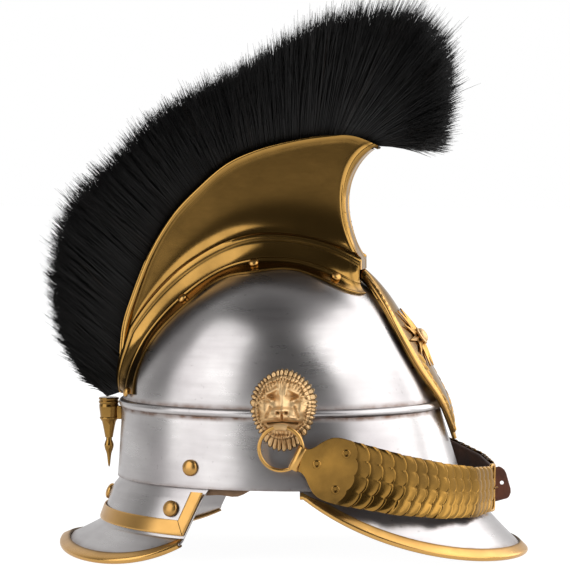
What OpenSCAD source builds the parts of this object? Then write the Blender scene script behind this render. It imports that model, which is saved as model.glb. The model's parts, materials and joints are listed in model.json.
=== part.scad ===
// Heavy cavalry helmet: steel skull and peaks, brass comb with a horsehair crest,
// and a pair of brass scale chinstraps that hang from lion masks.
// +X is the front of the helmet, +Y its wearer's left, +Z up. It stands on the floor at Z = 0.

/* [Skull] */
// Length of the skull at its rim, front to back
rim_len = 230; // [222:1:238]
// Width of the skull at its rim
rim_w = 184; // [176:1:190]
// Height of the rim above the floor
rim_z = 50; // [47:1:53]
// Height of the plain band, from the rim up to the bead
band_h = 49; // [45:1:52]
// Height of the dome above the bead
dome_h = 98; // [92:1:102]
// How far the side of the skull leans in from the rim to the bead
band_lean = 6; // [4:0.5:8]
// Thickness of the skull plate
plate_t = 1.4; // [1:0.1:2]
// How far the bead stands out of the skull
bead_r = 2.4; // [1.5:0.1:3]
// How far the middle of the skull lies behind the middle of its rim, at the bead
bead_back = 6; // [4:0.5:8]

/* [Peaks] */
// How far the front peak reaches ahead of the rim
front_reach = 43; // [38:1:48]
// How far the rear peak reaches behind the rim
rear_reach = 37; // [32:1:42]
// Thickness of the peak plates
peak_t = 1.4; // [1:0.1:2]
// Width of the brass trim on the edge of a peak
trim_w = 6; // [5:0.5:8]
// Thickness of the brass trim
trim_t = 1.2; // [0.8:0.1:1.6]
// Width of the brass band that crosses the rear peak
band_w = 9; // [7:0.5:10]

/* [Comb] */
// Half thickness of the comb under its top edge
comb_half = 10; // [8:0.5:12]
// Half thickness of the comb where it meets the skull
comb_foot = 17; // [14:0.5:19]
// Half width of the comb's flange, on the skull
flange_half = 37; // [33:1:40]
// Depth of the scallops in the flange
scallop = 3; // [1:0.5:4]
// Height of the hollow moulding at the foot of the comb
cove = 12; // [10:0.5:14]
// How far the front edge of the comb curves back
hollow = 18; // [15:0.5:20]
// Thickness of the comb's brass sheet
brass_t = 1.2; // [0.8:0.1:1.6]
// How far the rolled edge of the comb stands out
roll_r = 1.4; // [1:0.1:1.8]

/* [Crest] */
// Half thickness of the hair at its roots
root_half = 7; // [5:0.5:8]
// Half thickness of the hair at its tips
tuft_half = 33; // [26:1:38]
// Strands along the crest in one section
strands_long = 12; // [8:1:13]
// Strands across the crest
strands_wide = 6; // [4:1:6]

/* [Chinstrap] */
// Radius of the lion's ring, to the middle of its wire
ring_r = 14; // [12:0.5:15]
// Thickness of the ring's wire
wire_d = 2.5; // [2:0.1:3]
// How far the plane of a ring stands out from the side of the rim
ring_out = 9; // [8:0.5:11]
// How far the chinstraps pass ahead of the rim
strap_ahead = 19.5; // [17:0.5:22]
// Width of a chinstrap at its lug
strap_w = 42; // [38:1:44]
// Width of a chinstrap at the buckle
strap_end_w = 30; // [26:1:34]
// Thickness of the strap's leather
leather_t = 1.8; // [1.2:0.1:2.2]
// Thickness of a brass scale
scale_t = 0.8; // [0.6:0.1:1]
// Scales on one section of a strap
scale_rows = 4; // [3:1:5]

/* [Hidden] */
clear = 0.3;
// The flat facets of the skull and the peaks fall this far short of their curves.
sag = 0.45;
bead_z = rim_z + band_h;
top_z = bead_z + dome_h;
bead_half = rim_w / 2 - band_lean;
rim_front = rim_len / 2;
bead_front = rim_front - 9;
bead_rear = rim_front - 9.5;
core = [-2 * bead_back, 0, bead_z + bead_back];
edge_n = 38;
ring_y = rim_w / 2 + ring_out;

function lerp(a, b, t) = a + (b - a) * t;
function unit(v) = v / norm(v);
function dome_t(z) = min(0.9999, max(0, (z - bead_z) / dome_h));
function band_s(z) = max(0, (bead_z - z) / band_h);
function mid_x(z) = -bead_back * (1 - band_s(z)) - bead_back * dome_t(z);
function front_r(z) = lerp(bead_front, rim_front, band_s(z))
    * pow(1 - dome_t(z), 0.4) * (1 + 0.14 * dome_t(z));
function rear_r(z) = lerp(bead_rear, rim_front, band_s(z)) * pow(1 - pow(dome_t(z), 1.5), 0.6);
function half_w(z) = lerp(bead_half, rim_w / 2, band_s(z)) * sqrt(1 - pow(dome_t(z), 2.2));
function long_r(z, c) = c > 0 ? front_r(z) : rear_r(z);
// A point of the skull's outer face at angle a and height z, 0 at the front.
function skull_at(a, z) = [mid_x(z) + long_r(z, cos(a)) * cos(a), half_w(z) * sin(a), z];
// Below 1 inside the skull, above 1 outside.
function skull_f(p) = pow((p[0] - mid_x(p[2])) / max(0.2, long_r(p[2], p[0] - mid_x(p[2]))), 2)
    + pow(p[1] / max(0.2, half_w(p[2])), 2) + max(0, (p[2] - top_z) / 5);
function skull_n(p) = unit([
    skull_f(p + [0.2, 0, 0]) - skull_f(p - [0.2, 0, 0]),
    skull_f(p + [0, 0.2, 0]) - skull_f(p - [0, 0.2, 0]),
    skull_f(p + [0, 0, 0.2]) - skull_f(p - [0, 0, 0.2])
]);
function hit(o, d, lo, hi, n) = n == 0 ? o + d * (lo + hi) / 2
    : skull_f(o + d * (lo + hi) / 2) < 1
        ? hit(o, d, (lo + hi) / 2, hi, n - 1)
        : hit(o, d, lo, (lo + hi) / 2, n - 1);
// The skull's outer face seen from the core: t turns from the front over the top, s to the side.
function from_core(t, s) = hit(core, [cos(t) * cos(s), sin(s), sin(t) * cos(s)], 1, rim_len, 20);
function off_skull(p, h) = p + skull_n(p) * h;
// The skull's half width at a place on its side.
function side_y(x, z) = half_w(z)
    * sqrt(max(0, 1 - pow((x - mid_x(z)) / long_r(z, x - mid_x(z)), 2)));

// A smooth curve through hand-chosen points: u runs from 0 to 1.
function at(p, i) = p[min(len(p) - 1, max(0, i))];
function curve(p, u) = let (k = min(u * (len(p) - 1), len(p) - 1.0001), i = floor(k), f = k - i)
    0.5 * (2 * at(p, i) + (at(p, i + 1) - at(p, i - 1)) * f
    + (2 * at(p, i - 1) - 5 * at(p, i) + 4 * at(p, i + 1) - at(p, i + 2)) * f * f
    + (3 * at(p, i) - at(p, i - 1) - 3 * at(p, i + 1) + at(p, i + 2)) * f * f * f);

function six_vol(p, f) = [for (t = f) cross(p[t[0]], p[t[1]]) * p[t[2]]];
function total(v, i = 0, s = 0) = i == len(v) ? s : total(v, i + 1, s + v[i]);
function outward(p, f) = total(six_vol(p, f)) > 0 ? [for (t = f) [t[0], t[2], t[1]]] : f;
function quad(a, b, c, d) = [[a, b, c], [a, c, d]];

// A closed solid between two grids of points. A wrapped grid joins its last column to its first.
module between(top, low, wrap = false) {
    r = len(top);
    c = len(top[0]);
    n = r * c;
    q = wrap ? c : c - 1;
    p = [for (g = [top, low]) for (row = g) for (v = row) v];
    f = [
        for (i = [0 : r - 2]) for (j = [0 : q - 1]) let (k = (j + 1) % c)
            each concat(
                quad(i * c + j, i * c + k, (i + 1) * c + k, (i + 1) * c + j),
                quad(n + i * c + j, n + (i + 1) * c + j, n + (i + 1) * c + k, n + i * c + k)
            ),
        for (j = [0 : q - 1]) let (k = (j + 1) % c, b = (r - 1) * c)
            each concat(quad(j, n + j, n + k, k), quad(b + j, b + k, n + b + k, n + b + j)),
        if (!wrap) for (i = [0 : r - 2]) let (a = i * c, b = a + c, e = c - 1)
            each concat(quad(a, b, n + b, n + a), quad(a + e, n + a + e, n + b + e, b + e))
    ];
    polyhedron(points = p, faces = outward(p, f), convexity = 8);
}

// A closed bowl between two stacks of rings. Each stack starts at its pole, a single point.
module bowl(out, inn) {
    r = len(out) - 1;
    c = len(out[1]);
    n = r * c;
    p = concat([for (i = [1 : r]) each out[i]], [for (i = [1 : r]) each inn[i]], [out[0], inn[0]]);
    f = [
        for (j = [0 : c - 1]) let (k = (j + 1) % c)
            each concat([[2 * n, k, j], [2 * n + 1, n + j, n + k]],
                quad((r - 1) * c + j, (r - 1) * c + k, n + (r - 1) * c + k, n + (r - 1) * c + j)),
        for (i = [0 : r - 2]) for (j = [0 : c - 1]) let (k = (j + 1) % c)
            each concat(
                quad(i * c + j, i * c + k, (i + 1) * c + k, (i + 1) * c + j),
                quad(n + i * c + j, n + (i + 1) * c + j, n + (i + 1) * c + k, n + i * c + k)
            )
    ];
    polyhedron(points = p, faces = outward(p, f), convexity = 8);
}

// The skull, raised from one plate, with a half-round bead above its plain band.
dome_rows = [0.07, 0.17, 0.31, 0.47, 0.63, 0.78, 0.9, 1];
bead_rows = [[2.6, 0], [1.3, 0.85], [0, 1], [-1.3, 0.85], [-2.6, 0]];
band_rows = [0.1, 1];
function skull_ring(z, h) = [for (j = [0 : edge_n - 1]) off_skull(skull_at(j * 360 / edge_n, z), h)];
function skull_stack(h, b) = concat(
    [[-2 * bead_back, 0, top_z + h]],
    [for (t = dome_rows) skull_ring(lerp(top_z, bead_z + 4, pow(t, 1.6)), h)],
    [for (r = bead_rows) skull_ring(bead_z + r[0], h + r[1] * b)],
    [for (t = band_rows) skull_ring(lerp(bead_z - 3, rim_z, t), h)]
);
module skull() {
    color("#a9a6aa") bowl(skull_stack(0, bead_r), skull_stack(-plate_t, 0));
}

// The peaks grow from the rim. a is the angle from the front, v runs from the rim to the edge.
front_end = 81;
rear_end = 68;
trim_low = trim_t + clear + peak_t / 2;
front_drop = rim_z - trim_low - 0.5;
crease_drop = 30;
crease_out = 11;
lobe = 5;
// The ends of the rear peak lean back by this share of their angle.
end_lean = 0.1;
rear_drop = rim_z - lobe - trim_low - 0.2;
function rim_pt(a) = [rim_front * cos(a), rim_w / 2 * sin(a), rim_z];
function rim_n(a) = unit([cos(a) * rim_w / 2, sin(a) * rim_front, 0]);
function below(a, out, down) = rim_pt(a) + rim_n(a) * out - [0, 0, down];
function front_pt(a, v) = let (e = abs(a) / front_end)
    below(a, front_reach * max(0.02, 1 - pow(e, 1.6)) * v * (0.8 + 0.2 * v),
        front_drop * max(0.06, 1 - pow(e * 0.99, 2.6)) * v);
function rear_pt(a, v) = let (
    e = abs(180 - abs(a)) / rear_end,
    reach = rear_reach * (1 - 0.66 * pow(e, 5)),
    drop = rear_drop + lobe * sin(133 * e) - 11.5 * pow(e, 7),
    c = crease_out * (1 - 0.4 * pow(e, 5)),
    k = crease_drop + 2.5 * e * e,
    s = max(0, v * 2 - 1))
    below(180 + (a - 180) * (1 - end_lean * min(1, 2 * v)),
        v < 0.5 ? c * 2 * v : lerp(c, reach, s * (0.8 + 0.2 * s)),
        v < 0.5 ? k * 2 * v : lerp(k, drop, s));
function peak_pt(rear, a, v) = rear ? rear_pt(a, v) : front_pt(a, v);
function peak_n(rear, a, v) = let (
    n = unit(cross(peak_pt(rear, a, v - 0.02) - peak_pt(rear, a, v + 0.02),
        peak_pt(rear, a + 0.2, v) - peak_pt(rear, a - 0.2, v))))
    n * rim_n(a) < 0 ? -n : n;
function peak_off(rear, a, v, h) = peak_pt(rear, a, v) + peak_n(rear, a, v) * h;
function peak_angles(rear, n) = rear
    ? [for (j = [0 : n]) 180 - rear_end + 2 * rear_end * j / n]
    : [for (j = [0 : n]) -front_end + 2 * front_end * j / n];
// The upper edge of a peak stands inside the skull, where the rivets hold it.
lap = 9;
function lap_row(rear, n, h, up) = [for (a = peak_angles(rear, n))
    off_skull(skull_at(a, rim_z + up), -(plate_t + clear + sag + h))];
function peak_rows(rear, n, h) = concat(
    [lap_row(rear, n, -h, lap), lap_row(rear, n, -h, -0.6)],
    [for (v = rear ? [0.12, 0.3, 0.48, 0.56, 0.7, 0.85, 1] : [0.1, 0.28, 0.46, 0.64, 0.82, 1])
        [for (a = peak_angles(rear, n)) peak_off(rear, a, v, h)]]);
module peak(rear, n) {
    between(peak_rows(rear, n, 0), peak_rows(rear, n, -peak_t));
}
// The brass trim folds over the edge of a peak.
function trim_path(rear, a, g, w) = let (
    e = peak_pt(rear, a, 1),
    n = peak_n(rear, a, 1),
    d = unit(peak_pt(rear, a, 1) - peak_pt(rear, a, 0.9)),
    run = max(2, min(w, 0.75 * norm(e - peak_pt(rear, a, 0.5)))))
    [
        e - d * run + n * g,
        e - d * run / 2 + n * g,
        e + d * g + n * g * 0.6,
        e + d * g - n * (peak_t + g * 0.6),
        e - d * run * 0.4 - n * (peak_t + g)
    ];
module trim(rear, n) {
    g = clear;
    t = trim_t + g;
    between([for (a = peak_angles(rear, n)) trim_path(rear, a, t, trim_w)],
        [for (a = peak_angles(rear, n)) trim_path(rear, a, g, trim_w)]);
}
module front_visor() {
    color("#a9a6aa") peak(false, 24);
}
module front_visor_trim() {
    color("#b5852f") trim(false, 24);
}
module rear_visor() {
    color("#a9a6aa") peak(true, 26);
}
module rear_visor_trim() {
    color("#b5852f") trim(true, 26);
}
// A flat brass band follows the crease of the rear peak, with an upright at each end.
function band_grid(n, v0, v1, a0, a1, h) = [for (j = [0 : n]) [for (i = [0 : 3])
    peak_off(true, lerp(a0, a1, j / n), lerp(v0, v1, i / 3), h)]];
module band_piece(n, v0, v1, a0, a1) {
    between(band_grid(n, v0, v1, a0, a1, clear + sag + 1), band_grid(n, v0, v1, a0, a1, clear + sag));
}
module rear_visor_band() {
    band_v = band_w / (2 * crease_drop);
    post_a = band_w / (rim_w / 2) * 46;
    band_low = 0.475;
    low = 180 - rear_end + 0.5;
    high = 180 + rear_end - 0.5;
    color("#a9782c") {
        band_piece(18, band_low - band_v, band_low, low, high);
        band_piece(3, 0.04, band_low - band_v - 0.01, low, low + post_a);
        band_piece(3, 0.04, band_low - band_v - 0.01, high - post_a, high);
    }
}

// The comb: two stamped halves that meet the skull in a scalloped flange.
// Its upper line runs from the tail, over the top, to the tip at the front. The line is given in
// shares: of half the rim's length, and of the dome's height above the bead.
function placed(p) = [p[0] * rim_front, 0, bead_z + p[1] * dome_h];
comb_shares = [
    [-0.983, 0.06], [-0.983, 0.22], [-0.965, 0.5], [-0.904, 0.735], [-0.8, 1.03], [-0.67, 1.276],
    [-0.513, 1.469], [-0.357, 1.622], [-0.191, 1.714], [0, 1.776], [0.191, 1.811], [0.383, 1.811],
    [0.53, 1.745]
];
comb_line = [for (p = comb_shares) placed(p)];
comb_n = 24;
function comb_u(j) = 1 - pow(1 - j / comb_n, 1.12);
function polar(p) = atan2(p[2] - core[2], p[0] - core[0]);
function foot_t(u) = lerp(179, polar(curve(comb_line, u)), min(1, u * 8)) - 11 * pow(u, 4);
// The front edge curves back between the tip and the foot.
function hollow_at(u, v) = hollow * pow(u, 9) * pow(sin(180 * pow(v, 0.75)), 0.8);
function comb_y(v) = comb_half + (comb_foot - comb_half) * pow(v, 3);
function cove_at(u, w) = cove * min(1, u * 6) * pow(1 - w, 3);
function side_angle(y) = asin(min(0.9, y / dome_h));
function foot_pt(u) = off_skull(from_core(foot_t(u), side_angle(comb_foot)), clear + cove_at(u, 0));
function comb_pt(u, v, g) = let (m = lerp(curve(comb_line, u), foot_pt(u), v))
    [m[0] - hollow_at(u, v), comb_y(v) + g, m[2]];
// The flange is widest at each of its rivets and narrows towards the front.
rivet_u = [0.03, 0.33, 0.63, 0.93];
function flange_y(u) = flange_half - scallop * (0.5 - 0.5 * cos(1200 * (u - 0.03)))
    - flange_half * 0.36 * pow(u, 7);
function flange_s(u, w) = side_angle(lerp(comb_foot, flange_y(u), w)) * lerp(1.06, 1, min(1, u * 9));
function flange_pt(u, w, g) = off_skull(
    from_core(foot_t(u) - 9 * pow(u, 8) * w, flange_s(u, w)), clear + cove_at(u, w) + g);
function roll_at(v) = roll_r * exp(-pow((v - 0.035) / 0.03, 2));
function comb_col(u, g) = concat(
    [for (v = [0, 0.035, 0.08, 0.4, 0.7, 0.88, 0.97]) comb_pt(u, v, g + (g > 0 ? roll_at(v) : 0))],
    [for (w = [0.08, 0.3, 0.6, 1]) flange_pt(u, w, g)]);
module comb_side() {
    between([for (j = [0 : comb_n]) comb_col(comb_u(j), brass_t)],
        [for (j = [0 : comb_n]) comb_col(comb_u(j), 0)]);
}
module comb_left() {
    color("#9a6a2a") comb_side();
}
module comb_right() {
    color("#9a6a2a") mirror([0, 1, 0]) comb_side();
}
// A strip closes the front of the comb between the two halves.
module comb_front_strip() {
    rows = [0.03, 0.12, 0.22, 0.32, 0.44, 0.56, 0.7, 0.84, 0.96];
    grid = [for (g = [0, brass_t]) [for (v = rows) let (p = comb_pt(1, v, 0), y = p[1] - clear)
        [for (s = [-1, -0.5, 0.5, 1]) [p[0] - 1 + g + (1 - s * s) * 3, y * s, p[2]]]]];
    color("#b5852f") between(grid[1], grid[0]);
}

// A brass trough closes the top of the comb and carries the hair.
function crest_n(u) = let (d = curve(comb_line, min(1, u + 0.01)) - curve(comb_line, max(0, u - 0.01)))
    unit([-d[2], 0, d[0]]);
function crest_pt(u, y, h) = curve(comb_line, u) + crest_n(u) * h + [0, y, 0];
trough_h = 1.2;
trough_drop = 1.3;
trough_start = 0.14;
module crest_trough() {
    w = comb_half - clear;
    grid = [for (h = [-trough_drop, -trough_drop - trough_h]) [for (j = [0 : comb_n])
        [for (s = [-1, 0, 1]) crest_pt(lerp(trough_start, 1, j / comb_n), w * s, h)]]];
    color("#8a6226") between(grid[0], grid[1]);
}

// The hair: a strip of strands, each with its own cell of the strip, that fans out to its tips.
tail_at = placed([-1.061, 0.0286]);
tip_shares = [
    [-1.191, 0.194], [-1.33, 0.449], [-1.391, 0.765], [-1.374, 1.082], [-1.278, 1.398],
    [-1.061, 1.643], [-0.826, 1.929], [-0.548, 2.133], [-0.27, 2.286], [0, 2.49], [0.33, 2.673],
    [0.73, 2.684], [0.939, 2.439], [0.957, 2.071], [0.904, 1.745]
];
tip_line = [for (p = tip_shares) placed(p)];
sections = 5;
rear_share = 0.05;
function root_u(w) = w < 0.72 ? w / 0.72 * 0.86 : lerp(0.86, 1, (w - 0.72) / 0.28);
function root_pt(w, h) = w < rear_share
    ? lerp(tail_at, crest_pt(0, 0, 0), w / rear_share) + [-0.5, 0, 0.87] * h
    : crest_pt(root_u((w - rear_share) / (1 - rear_share)), 0, h);
function tuft(w) = tuft_half * min(1, 0.3 + 2.2 * w);
function hair_pt(w, s, h) = let (
    r = root_pt(w, 0),
    t = lerp(curve(tip_line, w), r, 0.12 * s * s),
    p = lerp(r, t, h))
    [p[0], s * lerp(root_half, tuft(w), pow(h, 0.8)), p[2]];
function noise(i, j) = let (v = sin(i * 127.1 + j * 311.7) * 43.7) v - floor(v);
function cell(w0, w1, s0, s1, h, k) = let (w = (w0 + w1) / 2, s = (s0 + s1) / 2)
    [for (c = [[w0, s0], [w1, s0], [w1, s1], [w0, s1]])
        hair_pt(lerp(w, c[0], k), lerp(s, c[1], k), h)];
module hair(k) {
    gap = 0.0015;
    m = strands_long;
    n = strands_wide;
    w = [for (i = [0 : m]) lerp((k + gap * sections) / sections, (k + 1 - gap * sections) / sections, i / m)];
    s = [for (j = [0 : n]) 2 * j / n - 1];
    base = [for (v = w) for (t = s) hair_pt(v, t, 0)];
    back = [for (v = w) for (t = s) root_pt(v, -1) + [0, t * root_half, 0]];
    b = (m + 1) * (n + 1);
    spikes = [for (i = [0 : m - 1]) for (j = [0 : n - 1])
        each concat(
            cell(w[i], w[i + 1], s[j], s[j + 1], 0.4, 0.9),
            cell(w[i], w[i + 1], s[j], s[j + 1], 0.8, 0.62),
            [hair_pt((w[i] + w[i + 1]) / 2, (s[j] + s[j + 1]) / 2, 1 - 0.1 * noise(i + k * m, j))])];
    faces = [
        for (i = [0 : m - 1]) for (j = [0 : n - 1])
            let (a = i * (n + 1) + j, q = 2 * b + 9 * (i * n + j),
                c = [a, a + n + 1, a + n + 2, a + 1])
            each concat(
                quad(b + c[0], b + c[3], b + c[2], b + c[1]),
                [for (e = [0 : 3]) let (f = (e + 1) % 4) each quad(c[e], c[f], q + f, q + e)],
                [for (e = [0 : 3]) let (f = (e + 1) % 4) each quad(q + e, q + f, q + 4 + f, q + 4 + e)],
                [for (e = [0 : 3]) [q + 4 + e, q + 4 + (e + 1) % 4, q + 8]]),
        for (j = [0 : n - 1]) let (e = m * (n + 1) + j)
            each concat(quad(j, j + 1, b + j + 1, b + j), quad(e + 1, e, b + e, b + e + 1)),
        for (i = [0 : m - 1]) let (a = i * (n + 1), c = a + n + 1)
            each concat(quad(c, a, b + a, b + c), quad(a + n, c + n, b + c + n, b + a + n))
    ];
    color("#1a1512") polyhedron(points = concat(base, back, spikes),
        faces = outward(concat(base, back, spikes), faces), convexity = 10);
}

// The ferrule grips the lower end of the crest behind the skull.
ferrule_r = 6.9;
module tail_ferrule() {
    lug_z = bead_z - 13;
    stem = -tail_at[0] + mid_x(lug_z) - rear_r(lug_z) - 0.4;
    color("#a9782c") {
        translate([tail_at[0], 0, tail_at[2] - 1.2]) rotate_extrude($fn = 48) polygon([
            [0, 0], [ferrule_r, 0], [ferrule_r, -1.4], [6.3, -1.9], [ferrule_r, -2.4],
            [ferrule_r, -3.8], [6.3, -4.3], [6.6, -5], [5.7, -13], [6.2, -14], [5.4, -15.4],
            [4.6, -16.5], [2.6, -27], [0, -27]
        ]);
        translate([tail_at[0] + 5, -2.5, lug_z]) cube([stem - 5, 5, 9]);
    }
}
module tail_finial() {
    color("#a9782c") translate([tail_at[0], 0, tail_at[2] - 28.3]) rotate_extrude($fn = 40) polygon([
        [0, 0], [2, 0], [2, -1.4], [2.9, -3.2], [3.2, -5.2], [2.8, -7.4], [1.8, -10], [1.1, -15],
        [0.5, -19.5], [0, -20]
    ]);
}

// Stands a child on a point, with its Z along n.
module stand(p, n) {
    x = unit(cross(abs(n[2]) > 0.9 ? [1, 0, 0] : [0, 0, 1], n));
    y = cross(n, x);
    multmatrix([
        [x[0], y[0], n[0], p[0]], [x[1], y[1], n[1], p[1]], [x[2], y[2], n[2], p[2]], [0, 0, 0, 1]
    ]) children();
}
// A round rivet head.
module dome_head(r, h) {
    rotate_extrude($fn = 32) polygon(concat([[0, 0], [r, 0]],
        [for (i = [1 : 5]) [r * cos(i * 18), h * (0.25 + 0.75 * sin(i * 18))]],
        [[0, h]]));
}
module both_sides() {
    children();
    mirror([0, 1, 0]) children();
}
rivet_r = 5.4;
comb_rivet_r = 3;
rivet_h = 3.4;
module peak_rivet(a) {
    stand(peak_off(true, a, 0.22, clear + sag), peak_n(true, a, 0.22)) dome_head(rivet_r, rivet_h);
}
module visor_rivets() {
    color("#b98f3c") both_sides() {
        for (v = [[118, rim_z + 13], [27, rim_z + 6]]) let (p = skull_at(v[0], v[1]))
            stand(off_skull(p, clear), skull_n(p)) dome_head(rivet_r, rivet_h);
        peak_rivet(180 - rear_end + 10);
    }
    color("#b98f3c") peak_rivet(180);
}
// A comb rivet bridges the fold of the flange, and leans with it.
module comb_rivets() {
    seat_w = [0.3, 0.6, 1];
    function fold_pt(u, k, share) =
        lerp(flange_pt(u, seat_w[k], brass_t), flange_pt(u, seat_w[k + 1], brass_t), share);
    color("#c9a14a") both_sides() for (u = rivet_u) let (
        high = fold_pt(u, 0, 0.57),
        low = fold_pt(u, 1, 0.43),
        d = unit(high - low),
        out = skull_n(low))
        stand((high + low) / 2 + unit(out - d * (out * d)) * (clear + sag / 2), unit(out - d * (out * d)))
            dome_head(comb_rivet_r, 1.9);
}

// The plate on the front of the skull: a pointed shield that stands off the dome.
// Its half width, from its lower point to its upper one, is given in shares of the skull's width.
plate_low = bead_z - band_h / 2;
plate_high = top_z - dome_h / 8;
badge_z = bead_z + dome_h * 0.42;
plate_rise = 4.4;
plate_shares = [[0.012, 0, 0], [0.08, 0, 0], [0.125, 0, 0], [0.155, 0, 0], [0.15, 0, 0], [0.1, 0, 0], [0.03, 0, 0]];
function plate_w(z) = rim_w * curve(plate_shares, min(1, max(0, (z - plate_low) / (plate_high - plate_low))))[0];
// It stands off the skull to pass over the bead.
function plate_h(z) = 2 * clear + 1.4 + bead_r * exp(-pow((z - bead_z) / 16, 2));
// Its middle is raised, and most of all near its top.
function plate_crown(z) = 1.6 + plate_rise * min(1, max(0, (z - bead_z - dome_h * 0.6) / 26));
function plate_at(z, s, h) = let (p = skull_at(asin(min(0.9, s * plate_w(z) / half_w(z))), z))
    off_skull(p, plate_h(z) + plate_crown(z) * (1 - s * s) + h);
plate_rows = [0, 0.08, 0.16, 0.22, 0.3, 0.42, 0.54, 0.66, 0.78, 0.88, 0.95, 1];
function plate_grid(h) = [for (k = plate_rows) [for (j = [-4 : 4])
    plate_at(lerp(plate_low, plate_high, k), j / 4, h)]];
module front_plate() {
    color("#c2953c") between(plate_grid(brass_t), plate_grid(0));
}
// A raised border follows both sides of the plate.
module front_plate_border() {
    color("#d0a548") both_sides() {
        k_rows = [0.04, 0.08, 0.16, 0.22, 0.3, 0.42, 0.54, 0.66, 0.78, 0.88, 0.95];
        g = [for (h = [2.6, brass_t + clear]) [for (k = k_rows)
            [for (s = [0.76, 0.86, 0.96]) plate_at(lerp(plate_low, plate_high, k),
                s, s == 0.86 || h < 2.6 ? h : h - 0.7)]]];
        between(g[0], g[1]);
    }
}
// A star of rays with a round boss in the middle of the plate.
module front_plate_star() {
    rays = 12;
    r = 17;
    function star(q, a, h) = let (
        z = badge_z + q * r * sin(a) * (a % 30 == 0 ? 1.2 : 0.72),
        y = q * r * cos(a) * (a % 30 == 0 ? 1.2 : 0.72))
        plate_at(z, y / plate_w(z), brass_t + clear + sag / 2 + h * (1 - 0.7 * q));
    color("#d0a548") {
        bowl(
            concat([star(0, 0, 2.4)], [for (q = [0.5, 1]) [for (j = [0 : 2 * rays - 1]) star(q, j * 15, 2.4)]]),
            concat([star(0, 0, 0)], [for (q = [0.5, 1]) [for (j = [0 : 2 * rays - 1]) star(q, j * 15, 0)]]));
        stand(star(0, 0, 3), skull_n(skull_at(0, badge_z))) dome_head(6, 4);
    }
}
// Threaded studs hold the plate off the skull.
module front_plate_studs() {
    color("#8a6226") for (v = [[bead_z + 12, 0.55], [bead_z + 12, -0.55], [bead_z + 62, 0]]) let (
        p = plate_at(v[0], v[1], 0),
        n = skull_n(p),
        g = norm(p - hit(p - n * 20, n, 0, 19.9, 16)))
        stand(p - n * (g - clear), n) cylinder(r = 2, h = g - 3 * clear, $fn = 24);
}

// A lion's mask on each side. It is a hollow relief with an open jaw.
mask_x = 7;
mask_z = bead_z + 5;
mask_w = 20.5;
mask_h = 23;
beard = 5;
ring_z = bead_z - 20.4;
mask_sectors = 26;
mask_jaw = 5;
function gauss(u, v, a, b) = exp(-pow(u / a, 2) - pow(v / b, 2));
// Height of the relief: u and v run from -1 to 1 across the face and up it.
function mask_relief(u, v) = let (
    q = norm([u, v]),
    a = atan2(v, u),
    locks = sin(a * 12 + q * 160) * (q > 0.6 ? 1 : 0),
    h = 2.4 + 6.5 * pow(max(0, 1 - q * q), 0.6)
        + 5.5 * gauss(u, v + 0.16, 0.24, 0.26)
        + 1.8 * gauss(abs(u) - 0.3, v - 0.26, 0.2, 0.1)
        - 2 * gauss(abs(u) - 0.3, v - 0.08, 0.13, 0.09)
        + 2.5 * gauss(u, v + 0.74, 0.26, 0.12)
        + 1.1 * locks,
    jaw = exp(-pow((v + 0.49) / 0.15, 4)) * exp(-pow(u / 0.5, 4)))
    lerp(h, mask_jaw, jaw);
// The back of the mask lies on the skull and passes over its bead.
function jaw_y(z, x = mask_x) = side_y(x, z) + clear + bead_r * exp(-pow((z - bead_z) / 4.5, 4));
function mask_pt(q, j, h) = let (
    a = j * 360 / mask_sectors,
    edge = 1 + (q > 0.9 ? 0.05 * cos(a * mask_sectors / 2) : 0) + (sin(a) < -0.8 ? q * beard / mask_h : 0),
    x = mask_x + mask_w * q * edge * cos(a),
    z = mask_z + mask_h * q * edge * sin(a),
    back = jaw_y(z, x))
    [x, back + h * mask_relief(q * cos(a) * edge, q * sin(a) * edge), z];
mask_rings = [0.1, 0.22, 0.34, 0.46, 0.58, 0.7, 0.85, 1];
module mask_side() {
    color("#a8782c") bowl(
        concat([mask_pt(0, 0, 1)], [for (q = mask_rings) [for (j = [0 : mask_sectors - 1]) mask_pt(q, j, 1)]]),
        concat([mask_pt(0, 0, 0)], [for (q = mask_rings) [for (j = [0 : mask_sectors - 1]) mask_pt(q, j, 0)]]));
}
module lion_left() {
    mask_side();
}
module lion_right() {
    mirror([0, 1, 0]) mask_side();
}
// A staple in each jaw holds the ring.
module ring_staples() {
    eye_wire = 0.75;
    stem_r = 0.9;
    eye_r = wire_d / 2 + clear + 0.1 + eye_wire;
    foot = jaw_y(ring_z + ring_r) + mask_jaw + stem_r + 2 * clear;
    color("#b98f3c") both_sides() {
        translate([mask_x, ring_y, ring_z + ring_r]) rotate([0, 90, 0])
            rotate_extrude($fn = 32) translate([eye_r, 0]) circle(r = eye_wire, $fn = 16);
        translate([mask_x, foot, ring_z + ring_r]) rotate([-90, 0, 0])
            cylinder(r = stem_r, h = ring_y - eye_r - foot, $fn = 20);
    }
}
module ring_side() {
    color("#c9a14a") translate([mask_x, ring_y, ring_z]) rotate([90, 0, 0])
        rotate_extrude($fn = 64) translate([ring_r, 0]) circle(d = wire_d, $fn = 20);
}
module ring_left() {
    ring_side();
}
module ring_right() {
    mirror([0, 1, 0]) ring_side();
}

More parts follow.
